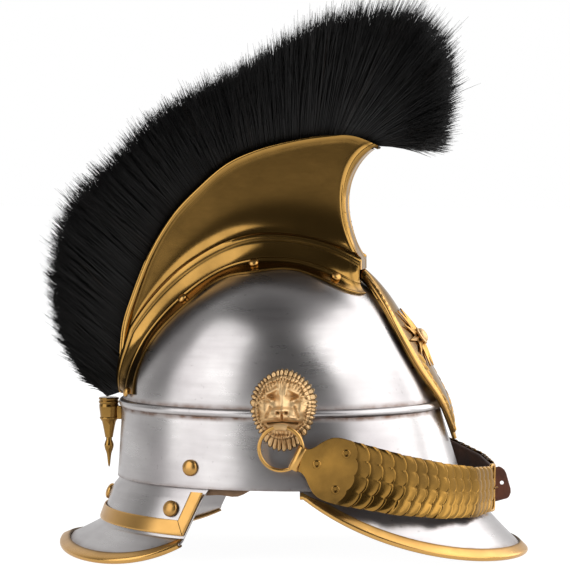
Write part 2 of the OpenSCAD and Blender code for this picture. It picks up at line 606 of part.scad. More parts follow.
// The chinstrap: a lug plate hinged on the ring, then jointed sections up to the front.
gate = 27;
strap_front_z = rim_z - 6;
hinge_at = [mask_x + ring_r * cos(gate), ring_y, ring_z - ring_r * sin(gate)];
hinge_axis = [sin(gate), 0, cos(gate)];
strap_reach = rim_front + strap_ahead - hinge_at[0];
parts = 4;
first_turn = 16.5;
last_turn = 84;
function strap_pt(t) = [
    hinge_at[0] + strap_reach * sin(t),
    ring_y * cos(t),
    strap_front_z + (hinge_at[2] - strap_front_z) * pow(1 - t / last_turn, 2)];
function knot(k) = k < 0 ? hinge_at : strap_pt(lerp(first_turn, last_turn, k / parts));
function run_len(k) = norm(knot(k + 1) - knot(k));
function width_at(k) = lerp(strap_w, strap_end_w, max(0, k) / parts);
function along(k) = unit(knot(k + 1) - knot(k));
function across(k) = let (x = along(k)) unit([0, 0, 1] - x * x[2]);
// Places a child in the frame of section k: X along the strap, Y out of it, Z across it.
module section(k) {
    x = along(k);
    z = across(k);
    y = cross(z, x);
    p = knot(k);
    multmatrix([
        [x[0], y[0], z[0], p[0]], [x[1], y[1], z[1], p[1]], [x[2], y[2], z[2], p[2]], [0, 0, 0, 1]
    ]) children();
}
// How far the joint at knot j leans along section k, for each millimetre across it.
function lean(k, j) = let (e = across(j - 1) + across(j)) (e * along(k)) / (e * across(k));
// A flat plate of an outline drawn in X and Z, between two heights in Y.
module flat(points, y0, y1) {
    translate([0, y1, 0]) rotate([90, 0, 0]) linear_extrude(y1 - y0) polygon(points);
}
knuckle_gap = 0.6;
leather_y = leather_t / 2;
function pitch(k) = run_len(k) / scale_rows;
overhang = 2.6;
tail_gap = overhang + clear;
lobes = 4;
function lobe_edge(x, w) = [for (i = [lobes - 1 : -1 : 0]) for (a = [60 : -40 : -60])
    [x + overhang * cos(a), -w / 2 + w * (i + 0.5) / lobes + w / lobes / 2 * sin(a) / sin(60)]];
module leather_part(k) {
    last = k == parts - 1;
    e = run_len(k) + (last ? tail_gap : -knuckle_gap);
    w0 = width_at(k) / 2 - 1;
    w1 = width_at(k + 1) / 2 - 1;
    a = lean(k, k);
    b = last ? 0 : lean(k, k + 1);
    flat([[knuckle_gap - a * w0, -w0], [e - b * w1, -w1], [e + b * w1, w1], [knuckle_gap + a * w0, w0]],
        -leather_y, leather_y);
}
module scales_part(k) {
    d = pitch(k);
    tilt = asin((scale_t + 2 * clear) / d);
    for (i = [0 : scale_rows - 1]) {
        w = lerp(width_at(k), width_at(k + 1), (i + 0.5) / scale_rows);
        a = i == 0 ? lean(k, k) * w / 2 : 0;
        b = i == 0 ? knuckle_gap + clear : 0;
        translate([i * d + clear, leather_y + clear, 0]) rotate([0, 0, tilt])
            flat(concat([[b - a, -w / 2]], [[d - overhang * 0.2, -w / 2]], [for (p = lobe_edge(d, w)) [p[0], -p[1]]],
                [[d - overhang * 0.2, w / 2], [b + a, w / 2]]), 0, scale_t);
    }
}
lug_y = leather_y + 3 * clear + 2 * scale_t;
lug_leather = lug_y - clear;
knuckle_r = 4.9;
eyelets = [[11, 0], [27, 12], [27, -12]];
module lug_part() {
    l = run_len(-1);
    w = strap_w / 2;
    difference() {
        flat(concat([[5, -7.7], [6, -10.5], [10, -14.8], [14.5, -18.8], [20, -w + 0.3], [l - 2, -w]],
            [for (p = lobe_edge(l, strap_w)) [p[0], -p[1]]],
            [[l - 2, w], [20, w - 0.3], [14.5, 18.8], [10, 14.8], [6, 10.5], [2.8, 7.7], [3.9, 0]]),
            lug_y, lug_y + 1);
        for (e = eyelets) translate([e[0], lug_y + 2, e[1]]) rotate([90, 0, 0]) cylinder(r = 2, h = 4, $fn = 24);
    }
}
module lug_side() {
    color("#a8782c") {
        section(-1) lug_part();
        stand(hinge_at - hinge_axis * 7.7, hinge_axis) difference() {
            cylinder(r = knuckle_r, h = 15.4, $fn = 40);
            translate([0, 0, -1]) cylinder(r = knuckle_r - 1, h = 17.4, $fn = 40);
        }
    }
}
module lug_left() {
    lug_side();
}
module lug_right() {
    mirror([0, 1, 0]) lug_side();
}
module lug_leather_side() {
    l = run_len(-1);
    w = strap_w / 2 - 1;
    a = lean(-1, 0) * w;
    color("#3a2415") section(-1) difference() {
        flat([
            [6.6, -7], [10, -12], [14.5, -16], [20, -w], [l - knuckle_gap - a, -w],
            [l - knuckle_gap + a, w], [20, w], [14.5, 16], [10, 12], [6.6, 7]
        ], -leather_y, lug_leather);
        for (e = eyelets) translate([e[0], 4, e[1]]) rotate([90, 0, 0]) cylinder(r = 2, h = 8, $fn = 24);
        translate([l - 5, leather_y, -w - 1]) cube([8, lug_y, 2 * w + 2]);
    }
}
module lug_leather_left() {
    lug_leather_side();
}
module lug_leather_right() {
    mirror([0, 1, 0]) lug_leather_side();
}
module eyelet_side() {
    color("#c9a14a") section(-1) for (e = eyelets)
        translate([e[0], lug_y + 1.15, e[1]]) rotate([90, 0, 0]) rotate_extrude($fn = 28) polygon([
            [1.2, -0.5], [3, -0.5], [3.1, 0], [1.85, 0], [1.85, lug_y + 1.1], [1.2, lug_y + 1.1]
        ]);
}
module lug_eyelets_left() {
    eyelet_side();
}
module lug_eyelets_right() {
    mirror([0, 1, 0]) eyelet_side();
}

module strap_right_1() {
    color("#3a2415") mirror([0, 1, 0]) section(0) leather_part(0);
}
module scales_right_1() {
    color("#a8782c") mirror([0, 1, 0]) section(0) scales_part(0);
}
module strap_right_2() {
    color("#3a2415") mirror([0, 1, 0]) section(1) leather_part(1);
}
module scales_right_2() {
    color("#a8782c") mirror([0, 1, 0]) section(1) scales_part(1);
}
module strap_right_3() {
    color("#3a2415") mirror([0, 1, 0]) section(2) leather_part(2);
}
module scales_right_3() {
    color("#a8782c") mirror([0, 1, 0]) section(2) scales_part(2);
}
module strap_right_4() {
    color("#3a2415") mirror([0, 1, 0]) section(3) leather_part(3);
}
module scales_right_4() {
    color("#a8782c") mirror([0, 1, 0]) section(3) scales_part(3);
}
module strap_left_1() {
    color("#3a2415") section(0) leather_part(0);
}
module scales_left_1() {
    color("#a8782c") section(0) scales_part(0);
}
module strap_left_2() {
    color("#3a2415") section(1) leather_part(1);
}
module scales_left_2() {
    color("#a8782c") section(1) scales_part(1);
}
module strap_left_3() {
    color("#3a2415") section(2) leather_part(2);
}
module scales_left_3() {
    color("#a8782c") section(2) scales_part(2);
}
module strap_left_4() {
    color("#3a2415") section(3) leather_part(3);
}
module scales_left_4() {
    color("#a8782c") section(3) scales_part(3);
}

// The buckle is on the right strap's end and the billet on the left strap's.
buckle_long = 9;
buckle_bar = 2;
module buckle_frame() {
    l = run_len(parts - 1) + tail_gap + clear;
    h = strap_end_w / 2 + 1;
    color("#c9a14a") mirror([0, 1, 0]) section(parts - 1) difference() {
        flat([[l, -h], [l + buckle_long - 1, -h], [l + buckle_long, -h + 2], [l + buckle_long, h - 2],
            [l + buckle_long - 1, h], [l, h]], -1, 1);
        flat([[l + buckle_bar, -h + buckle_bar], [l + buckle_long - buckle_bar, -h + buckle_bar],
            [l + buckle_long - buckle_bar, h - buckle_bar], [l + buckle_bar, h - buckle_bar]], -2, 2);
    }
}
prong_r = 1;
module buckle_prong() {
    l = run_len(parts - 1) + tail_gap + clear;
    color("#c9a14a") mirror([0, 1, 0]) section(parts - 1)
        translate([l + buckle_bar / 2, 1 + clear + prong_r, 0]) rotate([0, 90, 0])
            cylinder(r = prong_r, h = buckle_long - buckle_bar / 2, $fn = 20);
}
module billet() {
    end = knot(parts) + along(parts - 1) * (tail_gap + clear);
    h = strap_end_w / 2 - 4;
    color("#3a2415") translate([end[0], end[1] - leather_t - clear, end[2]])
        flat([[0, -h], [9, -h], [12, -h + 4], [12, h - 4], [9, h], [0, h]], 0, leather_t);
}

// The leather lining: a band inside the rim, and tongues laced together under the crown.
liner_gap = plate_t + peak_t + 2 * (clear + sag);
liner_t = 1.8;
liner_low = rim_z - 4.5;
liner_high = rim_z + 30;
module liner_band() {
    grid = [for (h = [0, liner_t]) [for (z = [liner_low, liner_high])
        [for (j = [0 : 35]) off_skull(skull_at(j * 10, z), -liner_gap - h)]]];
    color("#4a3524") between(grid[0], grid[1], true);
}
tongues = 8;
tongue_t = 1.5;
tongue_half = 18;
tongue_foot = liner_high - 8;
tongue_top = top_z - 34;
// The tongues leave the dome towards their upper ends, where the lace draws them in.
tongue_dip = 6;
function tongue_pt(c, s, k, h) = let (
    z = lerp(tongue_foot, tongue_top, k),
    half = tongue_half * (1 - 0.35 * k))
    off_skull(skull_at(c + s * half, z), -liner_gap - liner_t - clear - sag / 2 - h - tongue_dip * k * k);
module liner_tongues() {
    color("#6a4d33") for (i = [0 : tongues - 1]) let (c = (i + 0.5) * 360 / tongues)
        between([for (k = [0, 0.3, 0.6, 0.85, 1]) [for (s = [-1, -0.3, 0.3, 1]) tongue_pt(c, s, k, 0)]],
            [for (k = [0, 0.3, 0.6, 0.85, 1]) [for (s = [-1, -0.3, 0.3, 1]) tongue_pt(c, s, k, tongue_t)]]);
}
module hair_1() {
    hair(0);
}
module hair_2() {
    hair(1);
}
module hair_3() {
    hair(2);
}
module hair_4() {
    hair(3);
}
module hair_5() {
    hair(4);
}

skull();
front_visor();
front_visor_trim();
rear_visor();
rear_visor_trim();
rear_visor_band();
comb_left();
comb_right();
comb_front_strip();
crest_trough();
tail_ferrule();
tail_finial();
visor_rivets();
comb_rivets();
front_plate();
front_plate_border();
front_plate_star();
front_plate_studs();
lion_left();
lion_right();
ring_staples();
ring_left();
ring_right();
lug_left();
lug_right();
lug_leather_left();
lug_leather_right();
lug_eyelets_left();
lug_eyelets_right();
strap_right_1();
scales_right_1();
strap_right_2();
scales_right_2();
strap_right_3();
scales_right_3();
strap_right_4();
scales_right_4();
strap_left_1();
scales_left_1();
strap_left_2();
scales_left_2();
strap_left_3();
scales_left_3();
strap_left_4();
scales_left_4();
buckle_frame();
buckle_prong();
billet();
liner_band();
liner_tongues();
hair_1();
hair_2();
hair_3();
hair_4();
hair_5();
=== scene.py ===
# %% [markdown]
# A heavy cavalry helmet stands on a pale floor, seen from its wearer's right. This lesson starts
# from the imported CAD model, which fixes every size and place, and dresses it piece by piece.
# Lengths are written in millimetres, as on the drawing, and scaled to metres when a mesh is made.

# %% Load the frame
import json
import math

import bmesh
import bpy
import numpy as np
from mathutils import Matrix


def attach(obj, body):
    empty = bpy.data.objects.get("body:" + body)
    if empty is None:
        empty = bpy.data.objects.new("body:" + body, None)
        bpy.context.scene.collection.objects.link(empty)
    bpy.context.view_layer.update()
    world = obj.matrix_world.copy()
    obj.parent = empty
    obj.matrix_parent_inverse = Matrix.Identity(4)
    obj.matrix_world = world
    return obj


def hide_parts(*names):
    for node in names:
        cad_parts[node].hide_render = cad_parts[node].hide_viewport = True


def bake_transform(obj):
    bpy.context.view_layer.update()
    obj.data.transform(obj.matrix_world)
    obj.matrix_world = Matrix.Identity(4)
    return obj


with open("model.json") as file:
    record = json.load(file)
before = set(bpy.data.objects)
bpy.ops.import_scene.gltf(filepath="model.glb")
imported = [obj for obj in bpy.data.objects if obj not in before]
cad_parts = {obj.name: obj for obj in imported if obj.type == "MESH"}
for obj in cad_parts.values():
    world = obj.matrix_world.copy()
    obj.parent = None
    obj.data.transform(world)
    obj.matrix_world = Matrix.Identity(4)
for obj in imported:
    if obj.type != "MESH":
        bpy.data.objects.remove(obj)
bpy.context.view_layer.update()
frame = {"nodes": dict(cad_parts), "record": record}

MM = 0.001
rng = np.random.default_rng(7)

# %% [markdown]
# The camera comes first, because everything is compared with the photograph through it. The
# photograph was taken from far away, a little above the rim and a little towards the front, so a
# long lens and two small angles describe it.

# %% Camera
VIEW_WIDTH = 380.0
CAMERA_FAR = 2200.0
CAMERA_AZIMUTH = 7.0
CAMERA_ELEVATION = 3.5
LOOK_AT = np.array([-2.7, 0.0, 177.0])


def look_from(item, target, azimuth, elevation, far):
    """Set a camera or a lamp at a distance from the target, in metres, and turn it to face it."""
    az, el = math.radians(azimuth), math.radians(elevation)
    away = np.array([math.sin(az) * math.cos(el), -math.cos(az) * math.cos(el), math.sin(el)])
    item.location = target + away * far
    item.rotation_euler = (math.pi / 2 - el, 0, az)


def add_camera():
    data = bpy.data.cameras.new("photo_camera")
    data.lens = 0.5 * data.sensor_width / (0.5 * VIEW_WIDTH / CAMERA_FAR)
    data.clip_end = 20
    camera = bpy.data.objects.new("photo_camera", data)
    bpy.context.collection.objects.link(camera)
    look_from(camera, LOOK_AT * MM, CAMERA_AZIMUTH, CAMERA_ELEVATION, CAMERA_FAR * MM)
    bpy.context.scene.camera = camera
    return camera


camera = add_camera()
print("lens", round(camera.data.lens, 1), "mm")

# %% [markdown]
# Materials are node trees. One helper adds a node with its settings and links, and one turns the
# hex colours, which are written as they look on a screen, into the linear values of a shader. The
# scale of a pattern is 1000 divided by the width of its marks in millimetres.

# %% Material helpers
RGBA = {"data_type": "RGBA"}
TIMES, TIMES_ADD = {"operation": "MULTIPLY"}, {"operation": "MULTIPLY_ADD"}
LARGER = {"operation": "MAXIMUM"}


def linear(hex_colour):
    channels = [int(hex_colour[i:i + 2], 16) / 255 for i in (1, 3, 5)]
    return [c / 12.92 if c < 0.04045 else ((c + 0.055) / 1.055) ** 2.4 for c in channels] + [1.0]


def set_stops(ramp, stops):
    """Stops are pairs of a place from 0 to 1 and a grey value or a hex colour."""
    while len(ramp.elements) < len(stops):
        ramp.elements.new(0.5)
    for element, (at, colour) in zip(ramp.elements, stops):
        element.position = at
        element.color = linear(colour) if isinstance(colour, str) else [colour] * 3 + [1]


def add_node(tree, kind, settings=None, out=0, **inputs):
    """Add a node and give its output out. An input is named with _ for a space, or by its number,
    as in i0. A socket is linked to it, and any other value is set."""
    node = tree.nodes.new(kind)
    for key, value in (settings or {}).items():
        if key == "stops":
            set_stops(node.color_ramp, value)
        else:
            setattr(node, key, value)
    for key, value in inputs.items():
        socket = node.inputs[int(key[1:]) if key[1:].isdigit() else key.replace("_", " ")]
        if isinstance(value, bpy.types.NodeSocket):
            tree.links.new(value, socket)
        else:
            is_colour = isinstance(value, str) and value.startswith("#")
            socket.default_value = linear(value) if is_colour else value
    return node.outputs[out] if node.outputs else None


def new_material(name):
    material = bpy.data.materials.new(name)
    material.use_nodes = True
    tree = material.node_tree
    tree.nodes.clear()
    return material, tree


materials = {}
print("helpers ready")

# %% [markdown]
# The skull and peaks are raised steel plate, polished by hand and never plated. What the eye sees
# is a clear but soft reflection, crossed by fine rubbing marks, with brown stain where damp has
# stayed under the bead. The rubbing marks are noise stretched along the helmet.

# %% Polished steel plate


def polished_steel():
    material, tree = new_material("polished_steel_plate")
    here = add_node(tree, "ShaderNodeTexCoord", out="Object")
    cloud = add_node(tree, "ShaderNodeTexNoise", Vector=here, Scale=1000 / 38, Detail=5)
    grey = add_node(tree, "ShaderNodeValToRGB", {"stops": [(0.3, 0.0), (0.75, 1.0)]}, Fac=cloud)
    colour = add_node(tree, "ShaderNodeMix", RGBA, out=2, i0=grey, i6="#cbc8c7", i7="#b0abac")
    along = add_node(tree, "ShaderNodeMapping", Vector=here, Scale=(0.2, 0.2, 1.8))
    streak = add_node(tree, "ShaderNodeTexNoise", Vector=along, Scale=1000 / 6, Detail=3)
    faint = add_node(tree, "ShaderNodeMath", TIMES, i0=streak, i1=0.35)
    colour = add_node(tree, "ShaderNodeMix", RGBA, out=2, i0=faint, i6=colour, i7="#96908f")
    spots = add_node(tree, "ShaderNodeTexNoise", Vector=here, Scale=1000 / 3.2, Detail=8)
    speck = add_node(tree, "ShaderNodeValToRGB", {"stops": [(0.66, 0.0), (0.78, 1.0)]}, Fac=spots)
    faint = add_node(tree, "ShaderNodeMath", TIMES, i0=speck, i1=0.35)
    colour = add_node(tree, "ShaderNodeMix", RGBA, out=2, i0=faint, i6=colour, i7="#5d5450")
    stain = add_node(tree, "ShaderNodeAttribute", {"attribute_name": "stain"}, out="Fac")
    patches = add_node(tree, "ShaderNodeTexNoise", Vector=here, Scale=1000 / 7, Detail=6)
    patchy = add_node(tree, "ShaderNodeValToRGB", {"stops": [(0.38, 0.45), (0.62, 1.0)]}, Fac=patches)
    brown = add_node(tree, "ShaderNodeMath", TIMES, i0=stain, i1=patchy)
    colour = add_node(tree, "ShaderNodeMix", RGBA, out=2, i0=brown, i6=colour, i7="#6b4a34")
    dull = add_node(tree, "ShaderNodeValToRGB", {"stops": [(0.3, 0.0), (0.8, 1.0)]}, Fac=cloud)
    rough = add_node(tree, "ShaderNodeMath", TIMES_ADD, i0=dull, i1=0.07, i2=0.22)
    rough = add_node(tree, "ShaderNodeMath", TIMES_ADD, i0=streak, i1=0.1, i2=rough)
    rough = add_node(tree, "ShaderNodeMath", TIMES_ADD, i0=stain, i1=0.25, i2=rough)
    along = add_node(tree, "ShaderNodeMapping", Vector=here, Scale=(0.1, 0.1, 1.5))
    rub = add_node(tree, "ShaderNodeTexNoise", Vector=along, Scale=1000 / 1.3, Detail=4)
    normal = add_node(tree, "ShaderNodeBump", Height=rub, Distance=0.012 * MM, Strength=0.4)
    waves = add_node(tree, "ShaderNodeTexNoise", Vector=here, Scale=1000 / 26, Detail=2)
    normal = add_node(tree, "ShaderNodeBump", Height=waves, Distance=0.5 * MM, Strength=0.25, Normal=normal)
    shader = add_node(tree, "ShaderNodeBsdfPrincipled", Base_Color=colour, Metallic=1.0,
                      Roughness=rough, Normal=normal)
    add_node(tree, "ShaderNodeOutputMaterial", Surface=shader)
    return material


materials["steel"] = polished_steel()

# %% [markdown]
# All the yellow metal is brass sheet or cast brass. It differs in age: trims are rubbed bright,
# and the hollows of the comb and of every lock of the lions' hair are painted darker, as shade with
# some dirt. One function makes them all from a bright colour, a tarnish colour and how much tarnish
# has stayed. The attribute wear is 1 on edges that hands rub, and the hollow mask is 1 in hollows.

# %% Brass


def brass(name, bright, tarnish, amount, rough_low, rough_high):
    material, tree = new_material(name)
    here = add_node(tree, "ShaderNodeTexCoord", out="Object")
    wear, cavity = (add_node(tree, "ShaderNodeAttribute", {"attribute_name": word}, out="Fac")
                    for word in ("wear", "cavity"))
    cloud = add_node(tree, "ShaderNodeTexNoise", Vector=here, Scale=1000 / 26, Detail=4)
    stops = [(0.5 - 0.35 * amount, 0.0), (0.95 - 0.3 * amount, 1.0)]
    old = add_node(tree, "ShaderNodeValToRGB", {"stops": stops}, Fac=cloud)
    grains = add_node(tree, "ShaderNodeTexNoise", Vector=here, Scale=1000 / 2.4, Detail=8)
    grain = add_node(tree, "ShaderNodeValToRGB", {"stops": [(0.55, 0.0), (0.8, 1.0)]}, Fac=grains)
    old = add_node(tree, "ShaderNodeMath", TIMES_ADD, i0=grain, i1=0.18 * amount, i2=old)
    kept = add_node(tree, "ShaderNodeMath", {"operation": "SUBTRACT"}, i0=1.0, i1=wear)
    old = add_node(tree, "ShaderNodeMath", {"operation": "MULTIPLY", "use_clamp": True}, i0=old, i1=kept)
    # Painted shade, with some dirt: the hollow mask mixes hollows towards a dark brown that stands for their
    # shade, and makes them a little rougher.
    grime_and_shade = add_node(tree, "ShaderNodeMath", TIMES, i0=cavity, i1=0.85)
    colour = add_node(tree, "ShaderNodeMix", RGBA, out=2, i0=old, i6=bright, i7=tarnish)
    colour = add_node(tree, "ShaderNodeMix", RGBA, out=2, i0=grime_and_shade, i6=colour, i7="#33240f")
    rough = add_node(tree, "ShaderNodeMath", TIMES_ADD, i0=old, i1=rough_high - rough_low, i2=rough_low)
    rough = add_node(tree, "ShaderNodeMath", TIMES_ADD, i0=grime_and_shade, i1=0.25, i2=rough)
    along = add_node(tree, "ShaderNodeMapping", Vector=here, Scale=(0.15, 1.0, 1.0))
    scratch = add_node(tree, "ShaderNodeTexNoise", Vector=along, Scale=1000 / 0.9, Detail=3)
    normal = add_node(tree, "ShaderNodeBump", Height=scratch, Distance=0.008 * MM, Strength=0.35)
    waves = add_node(tree, "ShaderNodeTexNoise", Vector=here, Scale=1000 / 11, Detail=3)
    normal = add_node(tree, "ShaderNodeBump", Height=waves, Distance=0.12 * MM, Strength=0.25, Normal=normal)
    shader = add_node(tree, "ShaderNodeBsdfPrincipled", Base_Color=colour, Metallic=1.0,
                      Roughness=rough, Normal=normal)
    add_node(tree, "ShaderNodeOutputMaterial", Surface=shader)
    return material


materials["trim_brass"] = brass("rubbed_brass_sheet", "#d0a25e", "#a87e46", 0.45, 0.26, 0.4)
materials["comb_brass"] = brass("aged_brass_sheet", "#a88144", "#785b2e", 0.6, 0.14, 0.22)
materials["cast_brass"] = brass("old_cast_brass", "#e6c494", "#b48c58", 0.4, 0.5, 0.62)
materials["scale_brass"] = brass("worn_scale_brass", "#a67d3c", "#634b27", 0.6, 0.15, 0.26)
materials["crest_brass"] = brass("dull_brass_trough", "#8f6f38", "#4c3a1e", 1.0, 0.4, 0.6)

# %% [markdown]
# The leather is vegetable tanned, dyed dark on the straps, worn back to red brown on the billet
# and left brown in the lining. Its grain is a Voronoi pattern of cells about a millimetre across,
# pressed in by a little bump.

# %% Leather


def leather(name, light, dark, cell_mm, rough):
    material, tree = new_material(name)
    here = add_node(tree, "ShaderNodeTexCoord", out="Object")
    cloud = add_node(tree, "ShaderNodeTexNoise", Vector=here, Scale=1000 / 14, Detail=6)
    worn = add_node(tree, "ShaderNodeValToRGB", {"stops": [(0.3, 0.0), (0.7, 1.0)]}, Fac=cloud)
    colour = add_node(tree, "ShaderNodeMix", RGBA, out=2, i0=worn, i6=dark, i7=light)
    creases = add_node(tree, "ShaderNodeTexNoise", Vector=here, Scale=1000 / 3.5, Detail=6)
    crease = add_node(tree, "ShaderNodeValToRGB", {"stops": [(0.6, 0.0), (0.8, 1.0)]}, Fac=creases)
    faint = add_node(tree, "ShaderNodeMath", TIMES, i0=crease, i1=0.4)
    colour = add_node(tree, "ShaderNodeMix", RGBA, out=2, i0=faint, i6=colour, i7="#1a0f08")
    cells = add_node(tree, "ShaderNodeTexVoronoi", Vector=here, Scale=1000 / cell_mm)
    normal = add_node(tree, "ShaderNodeBump", Height=cells, Distance=0.12 * MM, Strength=0.5)
    waves = add_node(tree, "ShaderNodeTexNoise", Vector=here, Scale=1000 / 5, Detail=5)
    normal = add_node(tree, "ShaderNodeBump", Height=waves, Distance=0.35 * MM, Strength=0.5, Normal=normal)
    shader = add_node(tree, "ShaderNodeBsdfPrincipled", Base_Color=colour, Roughness=rough,
                      Normal=normal, IOR=1.5)
    add_node(tree, "ShaderNodeOutputMaterial", Surface=shader)
    return material


materials["strap_leather"] = leather("dyed_strap_leather", "#4a2a18", "#2a160c", 0.9, 0.5)
materials["billet_leather"] = leather("worn_billet_leather", "#7a4630", "#4a2618", 0.9, 0.5)
materials["lining_leather"] = leather("vegetable_tanned_lining", "#8a6a4c", "#5c4430", 1.1, 0.7)

# %% [markdown]
# Horsehair is smooth, coarse and nearly black. Each strand carries its own tint from the attribute
# tint, so that the mass breaks into locks, and the low sun-brown shows only where light grazes it.

# %% Horsehair


def horsehair():
    material, tree = new_material("black_horsehair")
    tint = add_node(tree, "ShaderNodeAttribute", {"attribute_name": "tint"}, out="Fac")
    stops = [(0.0, "#050404"), (0.7, "#0b0908"), (1.0, "#241a14")]
    colour = add_node(tree, "ShaderNodeValToRGB", {"stops": stops}, Fac=tint)
    shader = add_node(tree, "ShaderNodeBsdfPrincipled", Base_Color=colour, Roughness=0.5, IOR=1.38)
    add_node(tree, "ShaderNodeOutputMaterial", Surface=shader)
    return material


materials["hair"] = horsehair()
print("materials", sorted(materials))

# %% [markdown]
# Sheet metal is made here as two grids of points, an outer and an inner face, joined round their
# edges. Every grid is worked out by a formula from the same sizes as the CAD model, with many more
# points, so the surface is smooth in a close view and still lies where the CAD says.

# %% Mesh helpers


def make_mesh(name, points, faces, smooth_angle, material, attributes=None):
    mesh = bpy.data.meshes.new(name)
    mesh.from_pydata((np.asarray(points) * MM).tolist(), [], faces)
    mesh.update()
    for key, values in (attributes or {}).items():
        layer = mesh.attributes.new(key, "FLOAT", "POINT")
        layer.data.foreach_set("value", np.asarray(values, dtype=np.float32).ravel())
    piece = bpy.data.objects.new(name, mesh)
    bpy.context.collection.objects.link(piece)
    recalculate(piece)
    mesh.shade_smooth()
    mesh.set_sharp_from_angle(angle=math.radians(smooth_angle))
    mesh.materials.append(materials[material])
    return piece


def recalculate(piece):
    work = bmesh.new()
    work.from_mesh(piece.data)
    bmesh.ops.remove_doubles(work, verts=work.verts, dist=1e-7)
    bmesh.ops.recalc_face_normals(work, faces=work.faces)
    work.to_mesh(piece.data)
    work.free()


def grid_faces(rows, columns, start, wrap, turned=False):
    faces = []
    for i in range(rows - 1):
        for j in range(columns if wrap else columns - 1):
            k = (j + 1) % columns
            face = [start + i * columns + j, start + i * columns + k,
                    start + (i + 1) * columns + k, start + (i + 1) * columns + j]
            faces.append(face[::-1] if turned else face)
    return faces


def joined_grids(outer, inner, wrap=False):
    """Points and faces of the closed solid between two grids of the same shape."""
    rows, columns = outer.shape[:2]
    count = rows * columns
    faces = grid_faces(rows, columns, 0, wrap) + grid_faces(rows, columns, count, wrap, True)
    for j in range(columns if wrap else columns - 1):
        k = (j + 1) % columns
        last = (rows - 1) * columns
        faces.append([j, count + j, count + k, k])
        faces.append([last + j, last + k, count + last + k, count + last + j])
    if not wrap:
        for i in range(rows - 1):
            a, b, e = i * columns, (i + 1) * columns, columns - 1
            faces.append([a, b, count + b, count + a])
            faces.append([a + e, count + a + e, count + b + e, b + e])
    return np.concatenate([outer.reshape(-1, 3), inner.reshape(-1, 3)]), faces


def bowl(outer, inner, outer_pole, inner_pole):
    """Points and faces of a closed shell whose grids wrap round and start at a pole."""
    points, faces = joined_grids(outer, inner, True)
    rows, columns = outer.shape[:2]
    crown, count = len(points), rows * columns
    ring = {tuple(sorted((j, (j + 1) % columns, count + j, count + (j + 1) % columns)))
            for j in range(columns)}
    faces = [face for face in faces if tuple(sorted(face)) not in ring]
    for j in range(columns):
        k = (j + 1) % columns
        faces += [[crown, k, j], [crown + 1, count + j, count + k]]
    return np.concatenate([points, [outer_pole, inner_pole]]), faces


def joined_parts(parts):
    """Several solids, each given by its points and faces, as the points and faces of one mesh."""
    points, faces = [], []
    for part_points, part_faces in parts:
        start = sum(map(len, points))
        faces += [[start + v for v in face] for face in part_faces]
        points.append(part_points)
    return np.concatenate(points), faces


def sheet_piece(name, outer, inner, material, wrap=False, angle=40, attributes=None):
    points, faces = joined_grids(outer, inner, wrap)
    return make_mesh(name, points, faces, angle, material, attributes)


def lerp(a, b, t):
    return a + (b - a) * t


def unit(v):
    return v / np.maximum(np.linalg.norm(v, axis=-1, keepdims=True), 1e-12)


def curve(points, u):
    """A smooth curve through given points, u from 0 to 1, as in the CAD source."""
    points = np.asarray(points, float)
    k = np.clip(np.asarray(u, float) * (len(points) - 1), 0, len(points) - 1.0001)
    i = np.floor(k).astype(int)
    f = (k - i)[..., None]
    p = [points[np.clip(i + d, 0, len(points) - 1)] for d in (-1, 0, 1, 2)]
    return 0.5 * (2 * p[1] + (p[2] - p[0]) * f + (2 * p[0] - 5 * p[1] + 4 * p[2] - p[3]) * f ** 2
                  + (3 * p[1] - p[0] - 3 * p[2] + p[3]) * f ** 3)


print("mesh helpers ready")

# %% [markdown]
# The skull is an egg with a pointed front. At each height its plan is an oval whose front and rear
# lengths differ, and the band below the bead leans out to the rim. The same functions find a point
# on its face in a given direction, so that rivets, the comb and the masks sit on the steel.

# %% The form of the skull
RIM_LENGTH, RIM_WIDTH, RIM_Z = 230.0, 184.0, 50.0
BAND_HEIGHT, DOME_HEIGHT, BAND_LEAN = 49.0, 98.0, 6.0
PLATE, BEAD, CLEAR = 1.4, 2.4, 0.3
BEAD_Z = RIM_Z + BAND_HEIGHT
TOP_Z = BEAD_Z + DOME_HEIGHT
BEAD_BACK = 6.0
SAG = 0.45
RIM_FRONT = RIM_LENGTH / 2
BEAD_FRONT, BEAD_REAR = RIM_FRONT - 9, RIM_FRONT - 9.5
CORE = np.array([-12.0, 0.0, BEAD_Z + 6])


def dome_share(z):
    return np.clip((z - BEAD_Z) / DOME_HEIGHT, 0, 0.9999)


def band_share(z):
    return np.maximum(0, (BEAD_Z - z) / BAND_HEIGHT)


def middle_x(z):
    return -BEAD_BACK * (1 - band_share(z)) - BEAD_BACK * dome_share(z)


def front_radius(z):
    t = dome_share(z)
    return lerp(BEAD_FRONT, RIM_FRONT, band_share(z)) * (1 - t) ** 0.4 * (1 + 0.14 * t)


def rear_radius(z):
    return lerp(BEAD_REAR, RIM_FRONT, band_share(z)) * (1 - dome_share(z) ** 1.5) ** 0.6


def half_width(z):
    side = lerp(RIM_WIDTH / 2 - BAND_LEAN, RIM_WIDTH / 2, band_share(z))
    return side * np.sqrt(1 - dome_share(z) ** 2.2)


def skull_at(angle, z):
    """A point of the outer face at an angle in degrees, 0 at the front, and a height."""
    c, s = np.cos(np.radians(angle)), np.sin(np.radians(angle))
    radius = np.where(c > 0, front_radius(z), rear_radius(z))
    return np.stack(np.broadcast_arrays(middle_x(z) + radius * c, half_width(z) * s, z), -1)


def skull_level(p):
    x = p[..., 0] - middle_x(p[..., 2])
    radius = np.where(x > 0, front_radius(p[..., 2]), rear_radius(p[..., 2]))
    return ((x / np.maximum(0.2, radius)) ** 2 + (p[..., 1] / np.maximum(0.2, half_width(p[..., 2]))) ** 2
            + np.maximum(0, (p[..., 2] - TOP_Z) / 5))


def skull_normal(p):
    step = 0.2 * np.eye(3)
    return unit(np.stack([skull_level(p + d) - skull_level(p - d) for d in step], -1))


def off_skull(p, height):
    return p + skull_normal(p) * np.asarray(height)[..., None]


